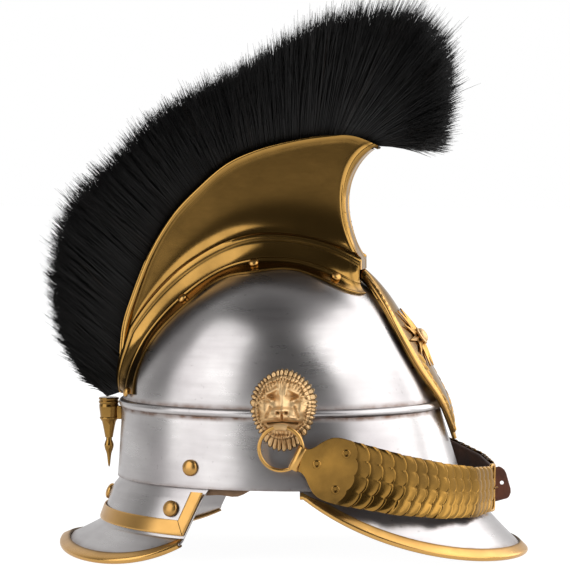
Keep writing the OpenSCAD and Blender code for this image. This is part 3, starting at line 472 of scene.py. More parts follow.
def hit(origin, direction):
    """Where lines from the origin meet the skull, found by halving the distance 22 times."""
    low = np.full(direction.shape[:-1], 10.0)
    high = np.full(direction.shape[:-1], 200.0)
    for _ in range(22):
        middle = (low + high) / 2
        inside = skull_level(origin + direction * middle[..., None]) < 1
        low, high = np.where(inside, middle, low), np.where(inside, high, middle)
    return origin + direction * ((low + high) / 2)[..., None]


def from_core(turn, side):
    t, s = np.radians(turn), np.radians(side)
    d = np.stack(np.broadcast_arrays(np.cos(t) * np.cos(s), np.sin(s), np.sin(t) * np.cos(s)), -1)
    return hit(CORE, d)


def side_y(x, z):
    radius = np.where(x > middle_x(z), front_radius(z), rear_radius(z))
    return half_width(z) * np.sqrt(np.maximum(0, 1 - ((x - middle_x(z)) / radius) ** 2))


print("skull rim", RIM_LENGTH, "x", RIM_WIDTH, "mm, crown at", TOP_Z)

# %% [markdown]
# The skull piece is one closed shell: rings of points from the crown to the rim, outside and
# inside, with the half-round bead swaged into the plate above the rim band. The slight waviness
# of hand-raised plate is a smooth sum of sines, so it is real geometry and survives an export.

# %% Skull shell
SKULL_SEGMENTS = 240


def hand_raised(angle, z):
    a = np.radians(angle)
    return (0.10 * np.sin(3 * a + z * 0.05) * np.sin(z * 0.09)
            + 0.06 * np.sin(7 * a - z * 0.11) + 0.04 * np.sin(11 * a + z * 0.21))


def skull_heights():
    dome = TOP_Z - (TOP_Z - BEAD_Z - 3.4) * np.linspace(0.012, 1, 60) ** 1.7
    bead = BEAD_Z + 2.8 * np.cos(np.radians(np.linspace(0, 180, 15)))
    band = np.linspace(BEAD_Z - 3.6, RIM_Z, 22)
    return np.concatenate([dome, bead, band])


def add_skull():
    z = skull_heights()[:, None]
    angle = np.arange(SKULL_SEGMENTS)[None, :] * 360 / SKULL_SEGMENTS
    base = skull_at(angle, z)
    ridge = BEAD * np.sqrt(np.clip(1 - ((z - BEAD_Z) / 2.8) ** 2, 0, 1))
    wave = hand_raised(angle, z) * np.clip((TOP_Z - z) / 20, 0, 1) * np.clip((z - RIM_Z) / 8, 0, 1)
    outer = off_skull(base, ridge + wave)
    inner = off_skull(base, np.broadcast_to(-PLATE, wave.shape))
    crown = np.array([-2 * BEAD_BACK, 0, TOP_Z])
    points, faces = bowl(outer, inner, crown, crown - [0, 0, PLATE])
    near = np.exp(-((z - (BEAD_Z - 3.2)) / 1.1) ** 2) + 0.7 * np.exp(-((z - (BEAD_Z + 3.2)) / 0.9) ** 2)
    rim = 0.5 * np.exp(-((z - RIM_Z) / 1.4) ** 2)
    stain = np.clip(np.broadcast_to(near + rim, wave.shape), 0, 1).ravel()
    stain = np.concatenate([stain, stain, [0, 0]])
    return make_mesh("skull_shell", points, faces, 50, "steel", {"stain": stain})


skull_shell = add_skull()
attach(skull_shell, "helmet")
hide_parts("skull")
print("skull", len(skull_shell.data.polygons), "faces")

# %% [markdown]
# Two peaks shade the eyes and the neck. Each is a plate that starts inside the rim, where the
# rivets hold it, turns out under the rim and flares down. The rear one is creased half way, which
# stiffens it. A brass trim is folded over each edge, round as a folded sheet is.

# %% Peaks and their trims
FRONT_REACH, REAR_REACH, PEAK = 43.0, 37.0, 1.4
TRIM_WIDTH, TRIM, BAND_WIDTH = 6.0, 1.2, 9.0
TRIM_LOW = TRIM + CLEAR + PEAK / 2
FRONT_END, REAR_END, END_LEAN = 81.0, 68.0, 0.1
FRONT_DROP = RIM_Z - TRIM_LOW - 0.5
CREASE_DROP, CREASE_OUT, LOBE = 30.0, 11.0, 5.0
REAR_DROP = RIM_Z - LOBE - TRIM_LOW - 0.2


def below_rim(angle, out, down):
    c, s = np.cos(np.radians(angle)), np.sin(np.radians(angle))
    zero = np.zeros_like(c)
    rim = np.stack([RIM_FRONT * c, RIM_WIDTH / 2 * s, zero + RIM_Z], -1)
    normal = unit(np.stack([c * RIM_WIDTH / 2, s * RIM_FRONT, zero], -1))
    return rim + normal * out[..., None] - np.stack([zero, zero, down], -1)


def front_peak(angle, v):
    e = np.abs(angle) / FRONT_END
    out = FRONT_REACH * np.maximum(0.02, 1 - e ** 1.6) * v * (0.8 + 0.2 * v)
    down = FRONT_DROP * np.maximum(0.06, 1 - (e * 0.99) ** 2.6) * v
    return below_rim(angle + 0 * v, out, down)


def rear_peak(angle, v):
    e = np.abs(180 - np.abs(angle)) / REAR_END
    reach = REAR_REACH * (1 - 0.66 * e ** 5)
    drop = REAR_DROP + LOBE * np.sin(np.radians(133 * e)) - 11.5 * e ** 7
    crease = CREASE_OUT * (1 - 0.4 * e ** 5)
    fold = CREASE_DROP + 2.5 * e ** 2
    s = np.clip(v * 2 - 1, 0, None)
    out = np.where(v < 0.5, crease * 2 * v, lerp(crease, reach, s * (0.8 + 0.2 * s)))
    down = np.where(v < 0.5, fold * 2 * v, lerp(fold, drop, s))
    return below_rim(180 + (angle - 180) * (1 - END_LEAN * np.minimum(1, 2 * v)), out, down)


def peak_normal(peak, angle, v):
    d_v = peak(angle, v - 0.02) - peak(angle, v + 0.02)
    d_a = peak(angle + 0.2, v) - peak(angle - 0.2, v)
    n = unit(np.cross(d_v, d_a))
    c, s = np.cos(np.radians(angle)), np.sin(np.radians(angle))
    out = np.stack([c * RIM_WIDTH / 2, s * RIM_FRONT, 0 * c], -1)
    return n * np.where((n * out).sum(-1) < 0, -1, 1)[..., None]


def peak_angles(rear, count):
    return np.linspace(180 - REAR_END, 180 + REAR_END, count) if rear else \
        np.linspace(-FRONT_END, FRONT_END, count)


def add_peak(name, rear, columns):
    peak = rear_peak if rear else front_peak
    angle = peak_angles(rear, columns)[None, :]
    sunk = np.full((1, columns), -(PLATE + CLEAR + SAG))
    lap = [off_skull(skull_at(angle, np.array([[RIM_Z + up]])), sunk) for up in (8.8, 5, 2, -0.6)]
    v = np.concatenate([np.linspace(0.1, 0.47, 12), [0.485, 0.5, 0.515], np.linspace(0.53, 1, 22)])[:, None]
    a = angle + 0 * v
    surface, normal = peak(a, v + 0 * a), peak_normal(peak, a, v + 0 * a)
    lap_out = np.concatenate(lap)
    lap_in = np.concatenate([off_skull(row, np.full((1, columns), -PEAK)) for row in lap])
    outer = np.concatenate([lap_out, surface])
    inner = np.concatenate([lap_in, surface - normal * PEAK])
    rows = outer.shape[0]
    edge = np.exp(-((np.arange(rows) - rows + 5) / 2.0) ** 2)[:, None] + np.zeros((1, columns))
    stain = np.concatenate([edge.ravel() * 0.5, edge.ravel() * 0.3])
    return sheet_piece(name, outer, inner, "steel", attributes={"stain": stain})


def folded_trim(name, rear, columns):
    """The trim's section is a hairpin round the plate edge, swept along the edge."""
    peak = rear_peak if rear else front_peak
    a = peak_angles(rear, columns)
    one = np.ones_like(a)
    e, n = peak(a, one), peak_normal(peak, a, one)
    d = unit(e - peak(a, one * 0.9))
    run = np.clip(0.75 * np.linalg.norm(e - peak(a, one * 0.5), axis=-1), 2, TRIM_WIDTH)
    middle = -n * PEAK / 2

    def hairpin(gap):
        radius = PEAK / 2 + gap
        rows = [e - d * (run * k)[:, None] + middle + n * radius for k in (1, 0.7, 0.35)]
        for turn in np.radians(np.linspace(90, -90, 11)):
            rows.append(e + middle + d * radius * math.cos(turn) + n * radius * math.sin(turn))
        rows += [e - d * (run * k)[:, None] + middle - n * radius for k in (0.2, 0.45)]
        return np.stack(rows)

    outer, inner = hairpin(CLEAR + TRIM), hairpin(CLEAR)
    rows = outer.shape[0]
    across = np.arange(rows)
    wear = np.exp(-((across - 6) / 3.0) ** 2)[:, None] * one[None, :]
    # Painted shade, with some dirt: the trim is darkened along its inner edge, where it meets the peak.
    cavity = 0.9 * np.exp(-(across / 0.8) ** 2)[:, None] * one[None, :]
    return sheet_piece(name, outer, inner, "trim_brass", attributes={
        "wear": np.tile(wear.ravel(), 2), "cavity": np.tile(cavity.ravel(), 2)})


for peak_name, trim_name, rear, node in (("front_peak", "front_peak_trim", False, "front_visor"),
                                         ("rear_peak", "rear_peak_trim", True, "rear_visor")):
    piece, trim = add_peak(peak_name, rear, 160), folded_trim(trim_name, rear, 160)
    for made, stands_for in ((piece, node), (trim, node + "_trim")):
        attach(made, "helmet")
        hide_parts(stands_for)
    print(peak_name, len(piece.data.polygons), "faces,", trim_name, len(trim.data.polygons))

# %% [markdown]
# A flat brass band lies along the crease of the rear peak and turns up at each front end, where
# the pieces meet in a mitre. Each strip is a small sheet over the peak whose two long edges are
# eased, and its ends are cut along the line of the mitre.

# %% Rear peak band
BAND_LOW = 0.475
BAND_SHARE = BAND_WIDTH / (2 * CREASE_DROP)
POST_ANGLE = BAND_WIDTH / (RIM_WIDTH / 2) * 46
MITRE_GAP = 0.15
EASED = np.array([0.0, 0.02, 0.05, 0.12, 0.3, 0.5, 0.7, 0.88, 0.95, 0.98, 1.0])


def band_sheet(angle, v, across):
    p, n = rear_peak(angle, v), peak_normal(rear_peak, angle, v)
    crown = 0.7 + 0.4 * (1 - np.abs(2 * across - 1) ** 8)
    return p + n * (CLEAR + SAG + crown)[..., None], p + n * (CLEAR + SAG)


def band_strips():
    low, high = 180 - REAR_END + 0.5, 180 + REAR_END - 0.5
    q, t = np.meshgrid(EASED, np.linspace(0, 1, 150), indexing="ij")
    cut = POST_ANGLE * (1 - q) + MITRE_GAP
    yield band_sheet(lerp(low + cut, high - cut, t), BAND_LOW - BAND_SHARE * (1 - q), q)
    for start, turn in ((low, 1), (high, -1)):
        q, t = np.meshgrid(EASED, np.linspace(0, 1, 30), indexing="ij")
        end = BAND_LOW - BAND_SHARE * q - 0.004
        yield band_sheet(start + turn * POST_ANGLE * q, lerp(0.04, end, t), q)


def add_band():
    strips, wear = [], []
    for outer, inner in band_strips():
        strips.append(joined_grids(outer, inner))
        edge = np.broadcast_to(0.8 - 0.5 * (1 - np.abs(2 * EASED - 1) ** 8)[:, None], outer.shape[:2])
        wear += edge.ravel().tolist() * 2
    points, faces = joined_parts(strips)
    return make_mesh("rear_peak_band", points, faces, 30, "trim_brass", {"wear": wear})


rear_band = add_band()
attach(rear_band, "helmet")
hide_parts("rear_visor_band")
print("band", len(rear_band.data.polygons), "faces")

# %% [markdown]
# The comb is two stamped halves that stand on the skull like a fin. A roll stiffens the upper and
# the front edges, a ridge follows the foot, and a scalloped flange carries the small rivets. The
# grid runs along the comb in one direction and from the top edge down to the flange in the other.

# %% The form of the comb
COMB_HALF, COMB_FOOT, FLANGE_HALF, SCALLOP = 10.0, 17.0, 42.0, 4.5
BRASS, HOLLOW, COVE = 1.2, 18.0, 12.0
RIVET_U = (0.03, 0.33, 0.63, 0.93)


def placed(shares):
    """Points given in shares of half the rim's length and of the dome's height above the bead."""
    return [[x * RIM_FRONT, 0, BEAD_Z + z * DOME_HEIGHT] for x, z in shares]


COMB_LINE = placed([
    (-0.983, 0.06), (-0.983, 0.22), (-0.965, 0.5), (-0.904, 0.735), (-0.8, 1.03), (-0.67, 1.276),
    (-0.513, 1.469), (-0.357, 1.622), (-0.191, 1.714), (0, 1.776), (0.191, 1.811), (0.383, 1.811),
    (0.53, 1.745)])


def foot_turn(u):
    p = curve(COMB_LINE, u)
    polar = np.degrees(np.arctan2(p[..., 2] - CORE[2], p[..., 0] - CORE[0]))
    return lerp(179, polar, np.minimum(1, u * 8)) - 11 * u ** 4


def smooth_share(t):
    t = np.clip(t, 0, 1)
    return t * t * (3 - 2 * t)


def cove_height(u, w):
    return COVE * np.minimum(1, u * 6) * (1 + 0.25 * smooth_share(u * 2 - 0.3)) * (1 - w) ** 3


def side_angle(y):
    return np.degrees(np.arcsin(np.minimum(0.9, y / DOME_HEIGHT)))


def comb_wall(u, v):
    top = curve(COMB_LINE, u)
    foot = off_skull(from_core(foot_turn(u), side_angle(COMB_FOOT)), CLEAR + cove_height(u, 0))
    p = lerp(top, foot, v[..., None])
    back = HOLLOW * u ** 9 * np.sin(np.pi * v ** 0.75) ** 0.8
    return np.stack([p[..., 0] - back, COMB_HALF + (COMB_FOOT - COMB_HALF) * v ** 9, p[..., 2]], -1)


def flange(u, w):
    wave = SCALLOP * (0.5 - 0.5 * np.cos(np.radians(1200 * (u - 0.03))))
    round_end = 11 * (1 - np.sqrt(1 - 0.98 * np.clip((u - 0.945) / 0.055, 0, 1) ** 2))
    half = FLANGE_HALF - wave - FLANGE_HALF * 0.22 * u ** 7 - round_end
    side = side_angle(lerp(COMB_FOOT, half, w)) * lerp(1.06, 1, np.minimum(1, u * 9))
    return off_skull(from_core(foot_turn(u) - 9 * u ** 8 * w, side), CLEAR + cove_height(u, w))


def comb_u(count):
    return 1 - (1 - np.linspace(0, 1, count)) ** 1.12


def bell(x, at, width):
    return np.exp(-((x - at) / width) ** 2)


def comb_half_piece(name, side):
    u = comb_u(220)[:, None]
    v = np.concatenate([np.linspace(0, 0.93, 60), np.linspace(0.94, 0.998, 20)])[None, :]
    wall = comb_wall(u + 0 * v, v + 0 * u)
    w = np.concatenate([np.linspace(0.02, 0.6, 44), np.linspace(0.62, 1, 18)])[None, :]
    skirt = flange(u + 0 * w, w + 0 * u)
    surface = np.concatenate([wall, skirt], 1)
    step_u = np.gradient(surface, axis=0)
    step_v = np.gradient(surface, axis=1)
    normal = unit(np.cross(step_u, step_v))
    normal *= np.where(normal[..., 1:2] < 0, -1, 1)
    across = np.concatenate([v[0], 1 + 0.25 * w[0]])[None, :]
    length = np.linalg.norm(step_v, axis=-1).cumsum(1)
    front = np.linalg.norm(surface - surface[-1:], axis=-1)
    roll = 1.5 * bell(length, 2.6, 2.0) * (across < 0.9) + 1.3 * bell(front, 2.4, 1.8) * (across < 0.97)
    fade = np.minimum(1, u * 6)
    foot = (1.0 * bell(across, 0.992, 0.009) - 0.5 * bell(across, 1.014, 0.007)
            + 0.5 * bell(across, 1.115, 0.006)) * fade
    lip = 0.3 * bell(across, 1.243, 0.006)
    proud = np.minimum(roll, 1.5) + foot + lip
    outer = surface + normal * (BRASS + proud)[..., None]
    inner = surface + 0 * normal
    wear = np.clip(roll * 0.65 + foot + lip * 1.2, 0, 1)
    # Painted shade, with some dirt: the grooves by the foot ridges and the strips inside the rolls are
    # darkened.
    cavity = np.clip((0.6 * bell(across, 1.016, 0.009) + 0.35 * bell(across, 1.13, 0.012)) * fade
                     + bell(length, 6.0, 1.2) * 0.6 * (across < 0.8) + 0.5 * bell(front, 6.0, 1.2), 0, 0.9)
    for grid in (outer, inner):
        grid[..., 1] *= side
    return sheet_piece(name, outer, inner, "comb_brass", angle=60, attributes={
        "wear": np.tile(wear.ravel(), 2), "cavity": np.tile(cavity.ravel(), 2)})


for name, side, node in (("comb_half_left", 1, "comb_left"), ("comb_half_right", -1, "comb_right")):
    half = comb_half_piece(name, side)
    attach(half, "helmet")
    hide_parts(node)
    print(name, len(half.data.polygons), "faces")

# %% [markdown]
# The front of the comb is closed by a rounded strip, with a raised rib down its middle. Its foot
# runs down behind the tongue of the front plate.

# %% Front strip of the comb


def add_front_strip():
    v = np.linspace(0.03, 1.08, 80)[:, None]
    s = np.linspace(-1, 1, 25)[None, :]
    edge = comb_wall(np.ones_like(v), np.minimum(v, 1)) - [0, 0, 1] * np.maximum(0, v - 1)[..., None] * 75
    width = edge[..., 1] - CLEAR
    bulge = (1 - s ** 2) * 1.6 + 0.7 * bell(s, 0, 0.16) + 0.5 * bell(np.abs(s), 0.86, 0.07)

    def face(height):
        return np.stack([edge[..., 0] - 1 + height + bulge, width * s, edge[..., 2] + 0 * s], -1)
    wear = np.broadcast_to(0.25 + 0.7 * bell(s, 0, 0.2), (80, 25))
    return sheet_piece("comb_front_strip_face", face(BRASS), face(0), "comb_brass",
                       angle=60, attributes={"wear": np.tile(wear.ravel(), 2)})


front_strip = add_front_strip()
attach(front_strip, "helmet")
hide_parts("comb_front_strip")
print("front strip", len(front_strip.data.polygons), "faces")

# %% [markdown]
# The crest is dyed horsehair, set upright in the trough and clipped to length. Each strand is a
# line of five points that follows the way the hair grows: it leaves the trough square to it, leans
# with its neighbours towards the clipped outline, and the locks it belongs to pull it a little
# together. Geometry Nodes turn the lines of each section into three-sided tapered tubes.

# %% The form of the crest
TAIL_AT = np.array(placed([(-1.061, 0.0286)])[0])
TIP_LINE = placed([
    (-1.191, 0.194), (-1.33, 0.449), (-1.391, 0.765), (-1.374, 1.082), (-1.278, 1.398),
    (-1.061, 1.643), (-0.826, 1.929), (-0.548, 2.133), (-0.27, 2.286), (0, 2.49), (0.33, 2.673),
    (0.73, 2.684), (0.939, 2.439), (0.957, 2.071), (0.904, 1.745)])
ROOT_HALF, TUFT_HALF, REAR_SHARE, SECTIONS = 7.0, 33.0, 0.05, 5
STRANDS = 7000


def root_at(w):
    u = np.clip((w - REAR_SHARE) / (1 - REAR_SHARE), 0, 1)
    u = np.where(u < 0.72, u / 0.72 * 0.86, lerp(0.86, 1, (u - 0.72) / 0.28))
    tail = lerp(TAIL_AT, np.array(COMB_LINE[0]), np.clip(w / REAR_SHARE, 0, 1)[..., None])
    return np.where((w < REAR_SHARE)[..., None], tail, curve(COMB_LINE, u))


def hair_point(w, s, h):
    root = root_at(w)
    tip = lerp(curve(TIP_LINE, w), root, (0.12 * s ** 2)[..., None])
    p = lerp(root, tip, h[..., None])
    tuft = TUFT_HALF * np.minimum(1, 0.3 + 2.2 * w)
    p[..., 1] = s * lerp(ROOT_HALF, tuft, h ** 0.8)
    return p


def strand_nodes(name):
    tree = bpy.data.node_groups.new(name, "GeometryNodeTree")
    sockets = tree.interface
    sockets.new_socket("Geometry", in_out="INPUT", socket_type="NodeSocketGeometry")
    root_radius = sockets.new_socket("Root radius", in_out="INPUT", socket_type="NodeSocketFloat")
    sides = sockets.new_socket("Sides", in_out="INPUT", socket_type="NodeSocketInt")
    sockets.new_socket("Geometry", in_out="OUTPUT", socket_type="NodeSocketGeometry")
    given = add_node(tree, "NodeGroupInput").node.outputs
    line = add_node(tree, "GeometryNodeMeshToCurve", Mesh=given["Geometry"])
    along = add_node(tree, "GeometryNodeSplineParameter", out="Factor")
    taper = add_node(tree, "ShaderNodeMath", {"operation": "POWER"}, i0=along, i1=2.2)
    taper = add_node(tree, "ShaderNodeMath", {"operation": "SUBTRACT"}, i0=1.0, i1=taper)
    taper = add_node(tree, "ShaderNodeMath", TIMES_ADD, i0=taper, i1=0.85, i2=0.15)
    radius = add_node(tree, "ShaderNodeMath", TIMES, i0=taper, i1=given["Root radius"])
    circle = add_node(tree, "GeometryNodeCurvePrimitiveCircle", Resolution=given["Sides"], Radius=1.0)
    tube = add_node(tree, "GeometryNodeCurveToMesh", Curve=line, Profile_Curve=circle, Scale=radius,
                    Fill_Caps=True)
    real = add_node(tree, "GeometryNodeRealizeInstances", Geometry=tube)
    dressed = add_node(tree, "GeometryNodeSetMaterial", Geometry=real, Material=materials["hair"])
    add_node(tree, "NodeGroupOutput", Geometry=dressed)
    return tree, root_radius.identifier, sides.identifier


def plain_mesh_of(source, name):
    """The evaluated source as an object with a plain mesh and no modifier."""
    evaluated = source.evaluated_get(bpy.context.evaluated_depsgraph_get())
    mesh = bpy.data.meshes.new_from_object(evaluated)
    piece = bpy.data.objects.new(name, mesh)
    bpy.context.collection.objects.link(piece)
    bpy.data.objects.remove(source)
    return piece


strand_tree, ROOT_RADIUS_INPUT, SIDES_INPUT = strand_nodes("bristle_strands")
STRAND_POINTS = np.array([-0.02, 0.25, 0.5, 0.76, 1.0])


def add_hair(section):
    low, high = section / SECTIONS, (section + 1) / SECTIONS
    w = rng.uniform(low, high, STRANDS)
    s = rng.uniform(-1, 1, STRANDS)
    s = np.sign(s) * np.abs(s) ** 0.8
    lock = np.round(w * 260) / 260
    lock_s = np.round(s * 6) / 6
    pull = rng.uniform(0.1, 0.75, STRANDS)
    tufts = (0.03 * np.sin(w * 210 + 3 * s) + 0.025 * np.sin(w * 97 + 5 * s + 1)
             + 0.02 * np.sin(w * 410 - 4 * s))
    length = 0.97 + tufts + 0.04 * rng.standard_normal(STRANDS) - 0.05 * rng.random(STRANDS)
    sway = rng.standard_normal((STRANDS, 3)) * [2.6, 2.6, 2.6]
    sway += (4.2 * np.stack([np.sin(lock * 900 + lock_s * 7), np.sin(lock * 1300 + lock_s * 5),
                             np.cos(lock * 1100 - lock_s * 9)], -1))
    points = []
    for h in STRAND_POINTS:
        k = np.clip(h, 0, 1) ** 2
        at_w, at_s = lerp(w, lock, pull * k), lerp(s, lock_s, pull * k)
        p = hair_point(at_w, at_s, np.maximum(h, 0) * length)
        points.append(p + sway * (k * 0.8))
    points = np.stack(points, 1)
    points[..., 1] = np.clip(points[..., 1], -TUFT_HALF - 4, TUFT_HALF + 4)
    count = len(STRAND_POINTS)
    edges = [(i * count + j, i * count + j + 1) for i in range(STRANDS) for j in range(count - 1)]
    mesh = bpy.data.meshes.new("strand_lines")
    mesh.from_pydata((points.reshape(-1, 3) * MM).tolist(), edges, [])
    tint = np.clip(0.2 + 0.2 * rng.standard_normal(STRANDS) + 0.2 * np.sin(lock * 1700), 0, 1)
    layer = mesh.attributes.new("tint", "FLOAT", "POINT")
    layer.data.foreach_set("value", np.repeat(tint, count).astype(np.float32))
    source = bpy.data.objects.new("strand_lines", mesh)
    bpy.context.collection.objects.link(source)
    modifier = source.modifiers.new("strands", "NODES")
    modifier.node_group = strand_tree
    modifier[ROOT_RADIUS_INPUT] = 0.36 * MM
    modifier[SIDES_INPUT] = 3
    piece = plain_mesh_of(source, f"horsehair_{section + 1}")
    piece.data.shade_smooth()
    return piece


for section in range(SECTIONS):
    tuft_piece = add_hair(section)
    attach(tuft_piece, "helmet")
    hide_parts(f"hair_{section + 1}")
    print(tuft_piece.name, len(tuft_piece.data.polygons), "faces")

# %% [markdown]
# The front plate is a long pointed shield of stamped brass. A raised border follows its edge, laurel
# leaves fill its lower half and a star with a round boss sits in the middle. The leaves are part of
# the sheet, so they are worked out as heights on its grid: each leaf is a bell-shaped swelling with
# a groove for its midrib.

# %% The form of the front plate
PLATE_LOW, PLATE_HIGH = BEAD_Z - BAND_HEIGHT / 2, TOP_Z - DOME_HEIGHT / 8
BADGE_Z = BEAD_Z + DOME_HEIGHT * 0.42
PLATE_RISE, PLATE_TONGUE = 4.4, 9.5
PLATE_SHARES = [[0.012, 0, 0], [0.08, 0, 0], [0.125, 0, 0], [0.155, 0, 0], [0.15, 0, 0],
                [0.1, 0, 0], [0.03, 0, 0]]


def plate_half(z):
    share = np.clip((z - PLATE_LOW) / (PLATE_HIGH - PLATE_LOW), 0, 1)
    return RIM_WIDTH * curve(PLATE_SHARES, share)[..., 0]


def plate_seat(z):
    return 2 * CLEAR + 1.4 + BEAD * np.exp(-((z - BEAD_Z) / 16) ** 2)


def plate_crown(z):
    return 1.6 + PLATE_RISE * np.clip((z - BEAD_Z - DOME_HEIGHT * 0.6) / 26, 0, 1)


def plate_at(z, s, height):
    share = np.clip(s * plate_half(z) / half_width(z), -0.9, 0.9)
    p = skull_at(np.degrees(np.arcsin(share)), z)
    return off_skull(p, plate_seat(z) + plate_crown(z) * (1 - s * s) + height)


def laurel(y, z):
    """Height of the stamped leaves at a place y across the plate and z up it, in millimetres."""
    height = np.zeros(np.broadcast(y, z).shape)
    for k in range(9):
        for side in (-1, 1):
            t = k / 8
            at_y = side * (2.5 + 13.5 * math.sin(t * 1.9))
            at_z = PLATE_LOW + 13 + 40 * t
            turn = side * (0.35 + 0.35 * (k % 2))
            a = (y - at_y) * math.cos(turn) + (z - at_z) * math.sin(turn) * -1
            b = (y - at_y) * math.sin(turn) + (z - at_z) * math.cos(turn)
            leaf = 1.5 * np.exp(-(a / 1.5) ** 2 - (b / 3.9) ** 4)
            height = np.maximum(height, leaf - 0.4 * np.exp(-(a / 0.3) ** 2) * (leaf > 0.2))
    return height


def hollows(height, reach=3, strength=1.6):
    """Where a relief is lower than the mean round it: 0 on flats and crests, up to 1 in hollows."""
    mean = sum(np.roll(height, shift, axis) for axis in (0, 1) for shift in (-reach, reach)) / 4
    return np.clip((mean - height) * strength, 0, 1), np.clip((height - mean) * strength, 0, 1)


def add_front_plate():
    z = np.linspace(PLATE_LOW, PLATE_HIGH + PLATE_TONGUE, 235)[:, None]
    s = np.linspace(-1, 1, 97)[None, :]
    y = s * plate_half(z)
    relief = laurel(y, z) * (np.abs(s) < 0.74)
    relief = relief + 0.25 * bell(np.abs(s), 0.985, 0.02)
    outer = plate_at(z, s, BRASS + relief)
    inner = plate_at(z, s, 0 * relief)
    # Painted shade, with some dirt: the hollows between the stamped leaves are darkened.
    cavity, wear = hollows(relief)
    return sheet_piece("shield_plate", outer, inner, "comb_brass", angle=60, attributes={
        "wear": np.tile(wear.ravel(), 2), "cavity": np.tile(cavity.ravel() * 0.8, 2)})


def add_plate_border():
    halves, wear = [], []
    for side in (-1, 1):
        z = lerp(PLATE_LOW, PLATE_HIGH, np.linspace(0.04, 0.95, 330))[:, None]
        s = np.linspace(0.76, 0.96, 17)[None, :]
        bead = 0.25 * np.abs(np.sin(np.arange(330) * 0.31))[:, None] * bell(s, 0.86, 0.035)
        crown = 1.3 * np.clip(1 - ((s - 0.86) / 0.1) ** 2, 0, 1) ** 0.5 + 0 * z
        outer = plate_at(z, s * side, BRASS + CLEAR + 0.3 + crown + bead)
        inner = plate_at(z, s * side, BRASS + CLEAR + 0 * crown)
        wear.append(np.tile(np.clip(crown - 0.4, 0, 1).ravel(), 2))
        halves.append(joined_grids(outer, inner))
    points, faces = joined_parts(halves)
    return make_mesh("shield_border", points, faces, 50, "trim_brass",
                     {"wear": np.concatenate(wear)})


def add_star():
    """Twelve ridged rays, each with a sharp crest that falls to its sides."""
    q = np.linspace(0.06, 1, 26)[:, None]
    a = np.arange(240)[None, :] * 1.5
    sharp = np.abs(((a / 30) % 1) - 0.5) * 2
    long_ray = np.where(np.floor((a + 15) / 30) % 2 == 0, 1.0, 0.82)
    reach = 17 * 1.2 * (0.42 + 0.58 * sharp ** 2.2 * long_ray)
    y = q * reach * np.cos(np.radians(a))
    z = BADGE_Z + q * reach * np.sin(np.radians(a))
    height = (2.6 * (1 - 0.75 * q)) * (0.35 + 0.65 * sharp ** 1.4) + 0.25
    base = BRASS + CLEAR + SAG / 2
    outer = plate_at(z, y / plate_half(z), base + height)
    inner = plate_at(z, y / plate_half(z), base + 0 * height)
    one = np.array([BADGE_Z])
    poles = [plate_at(one, 0 * one, base + h)[0] for h in (2.8, 0.0)]
    wear = np.clip((sharp - 0.75) * 4, 0, 1) + 0 * q
    # Painted shade, with some dirt: the valleys between the rays are darkened.
    cavity = np.clip((0.3 - sharp) * 3, 0, 0.9) + 0 * q
    points, faces = bowl(outer, inner, *poles)
    star = make_mesh("shield_star", points, faces, 25, "trim_brass", {
        "wear": np.concatenate([np.tile(wear.ravel(), 2), [1, 0]]),
        "cavity": np.concatenate([np.tile(cavity.ravel(), 2), [0, 0]])})
    return star, poles[0]


front_plate = add_front_plate()
plate_border = add_plate_border()
plate_star, boss_at = add_star()
for piece, node in ((front_plate, "front_plate"), (plate_border, "front_plate_border"),
                    (plate_star, "front_plate_star")):
    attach(piece, "helmet")
    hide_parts(node)
    print(piece.name, len(piece.data.polygons), "faces")

# %% [markdown]
# Rivets, eyelets, the boss and the scales all repeat one shape at many places. Geometry Nodes set a
# copy of the shape on each point of a small mesh, turned and sized by that point's attributes, and
# make the copies real. The result is one plain mesh for each body.

# %% A tree that sets a shape on points


def setting_tree():
    tree = bpy.data.node_groups.new("set_on_points", "GeometryNodeTree")
    face = tree.interface
    face.new_socket("Geometry", in_out="INPUT", socket_type="NodeSocketGeometry")
    shape = face.new_socket("Shape", in_out="INPUT", socket_type="NodeSocketObject")
    finish = face.new_socket("Finish", in_out="INPUT", socket_type="NodeSocketMaterial")
    face.new_socket("Geometry", in_out="OUTPUT", socket_type="NodeSocketGeometry")
    given = add_node(tree, "NodeGroupInput").node.outputs
    turn, size = (add_node(tree, "GeometryNodeInputNamedAttribute", {"data_type": "FLOAT_VECTOR"}, Name=word)
                  for word in ("turn", "size"))
    spin = add_node(tree, "FunctionNodeEulerToRotation", Euler=turn)
    piece = add_node(tree, "GeometryNodeObjectInfo", out="Geometry", Object=given["Shape"])
    copies = add_node(tree, "GeometryNodeInstanceOnPoints", Points=given["Geometry"], Instance=piece,
                      Rotation=spin, Scale=size)
    real = add_node(tree, "GeometryNodeRealizeInstances", Geometry=copies)
    dressed = add_node(tree, "GeometryNodeSetMaterial", Geometry=real, Material=given["Finish"])
    add_node(tree, "NodeGroupOutput", Geometry=dressed)
    return tree, shape.identifier, finish.identifier


setting_tree_nodes, SHAPE_INPUT, FINISH_INPUT = setting_tree()


def frame_at(p, z_axis):
    """Columns x, y, z of a right-handed frame whose z axis is given."""
    z = unit(np.asarray(z_axis, float))
    x = unit(np.cross((0, 0, 1) if abs(z[2]) < 0.95 else (1, 0, 0), z))
    return np.asarray(p, float), np.stack([x, np.cross(z, x), z], 1)


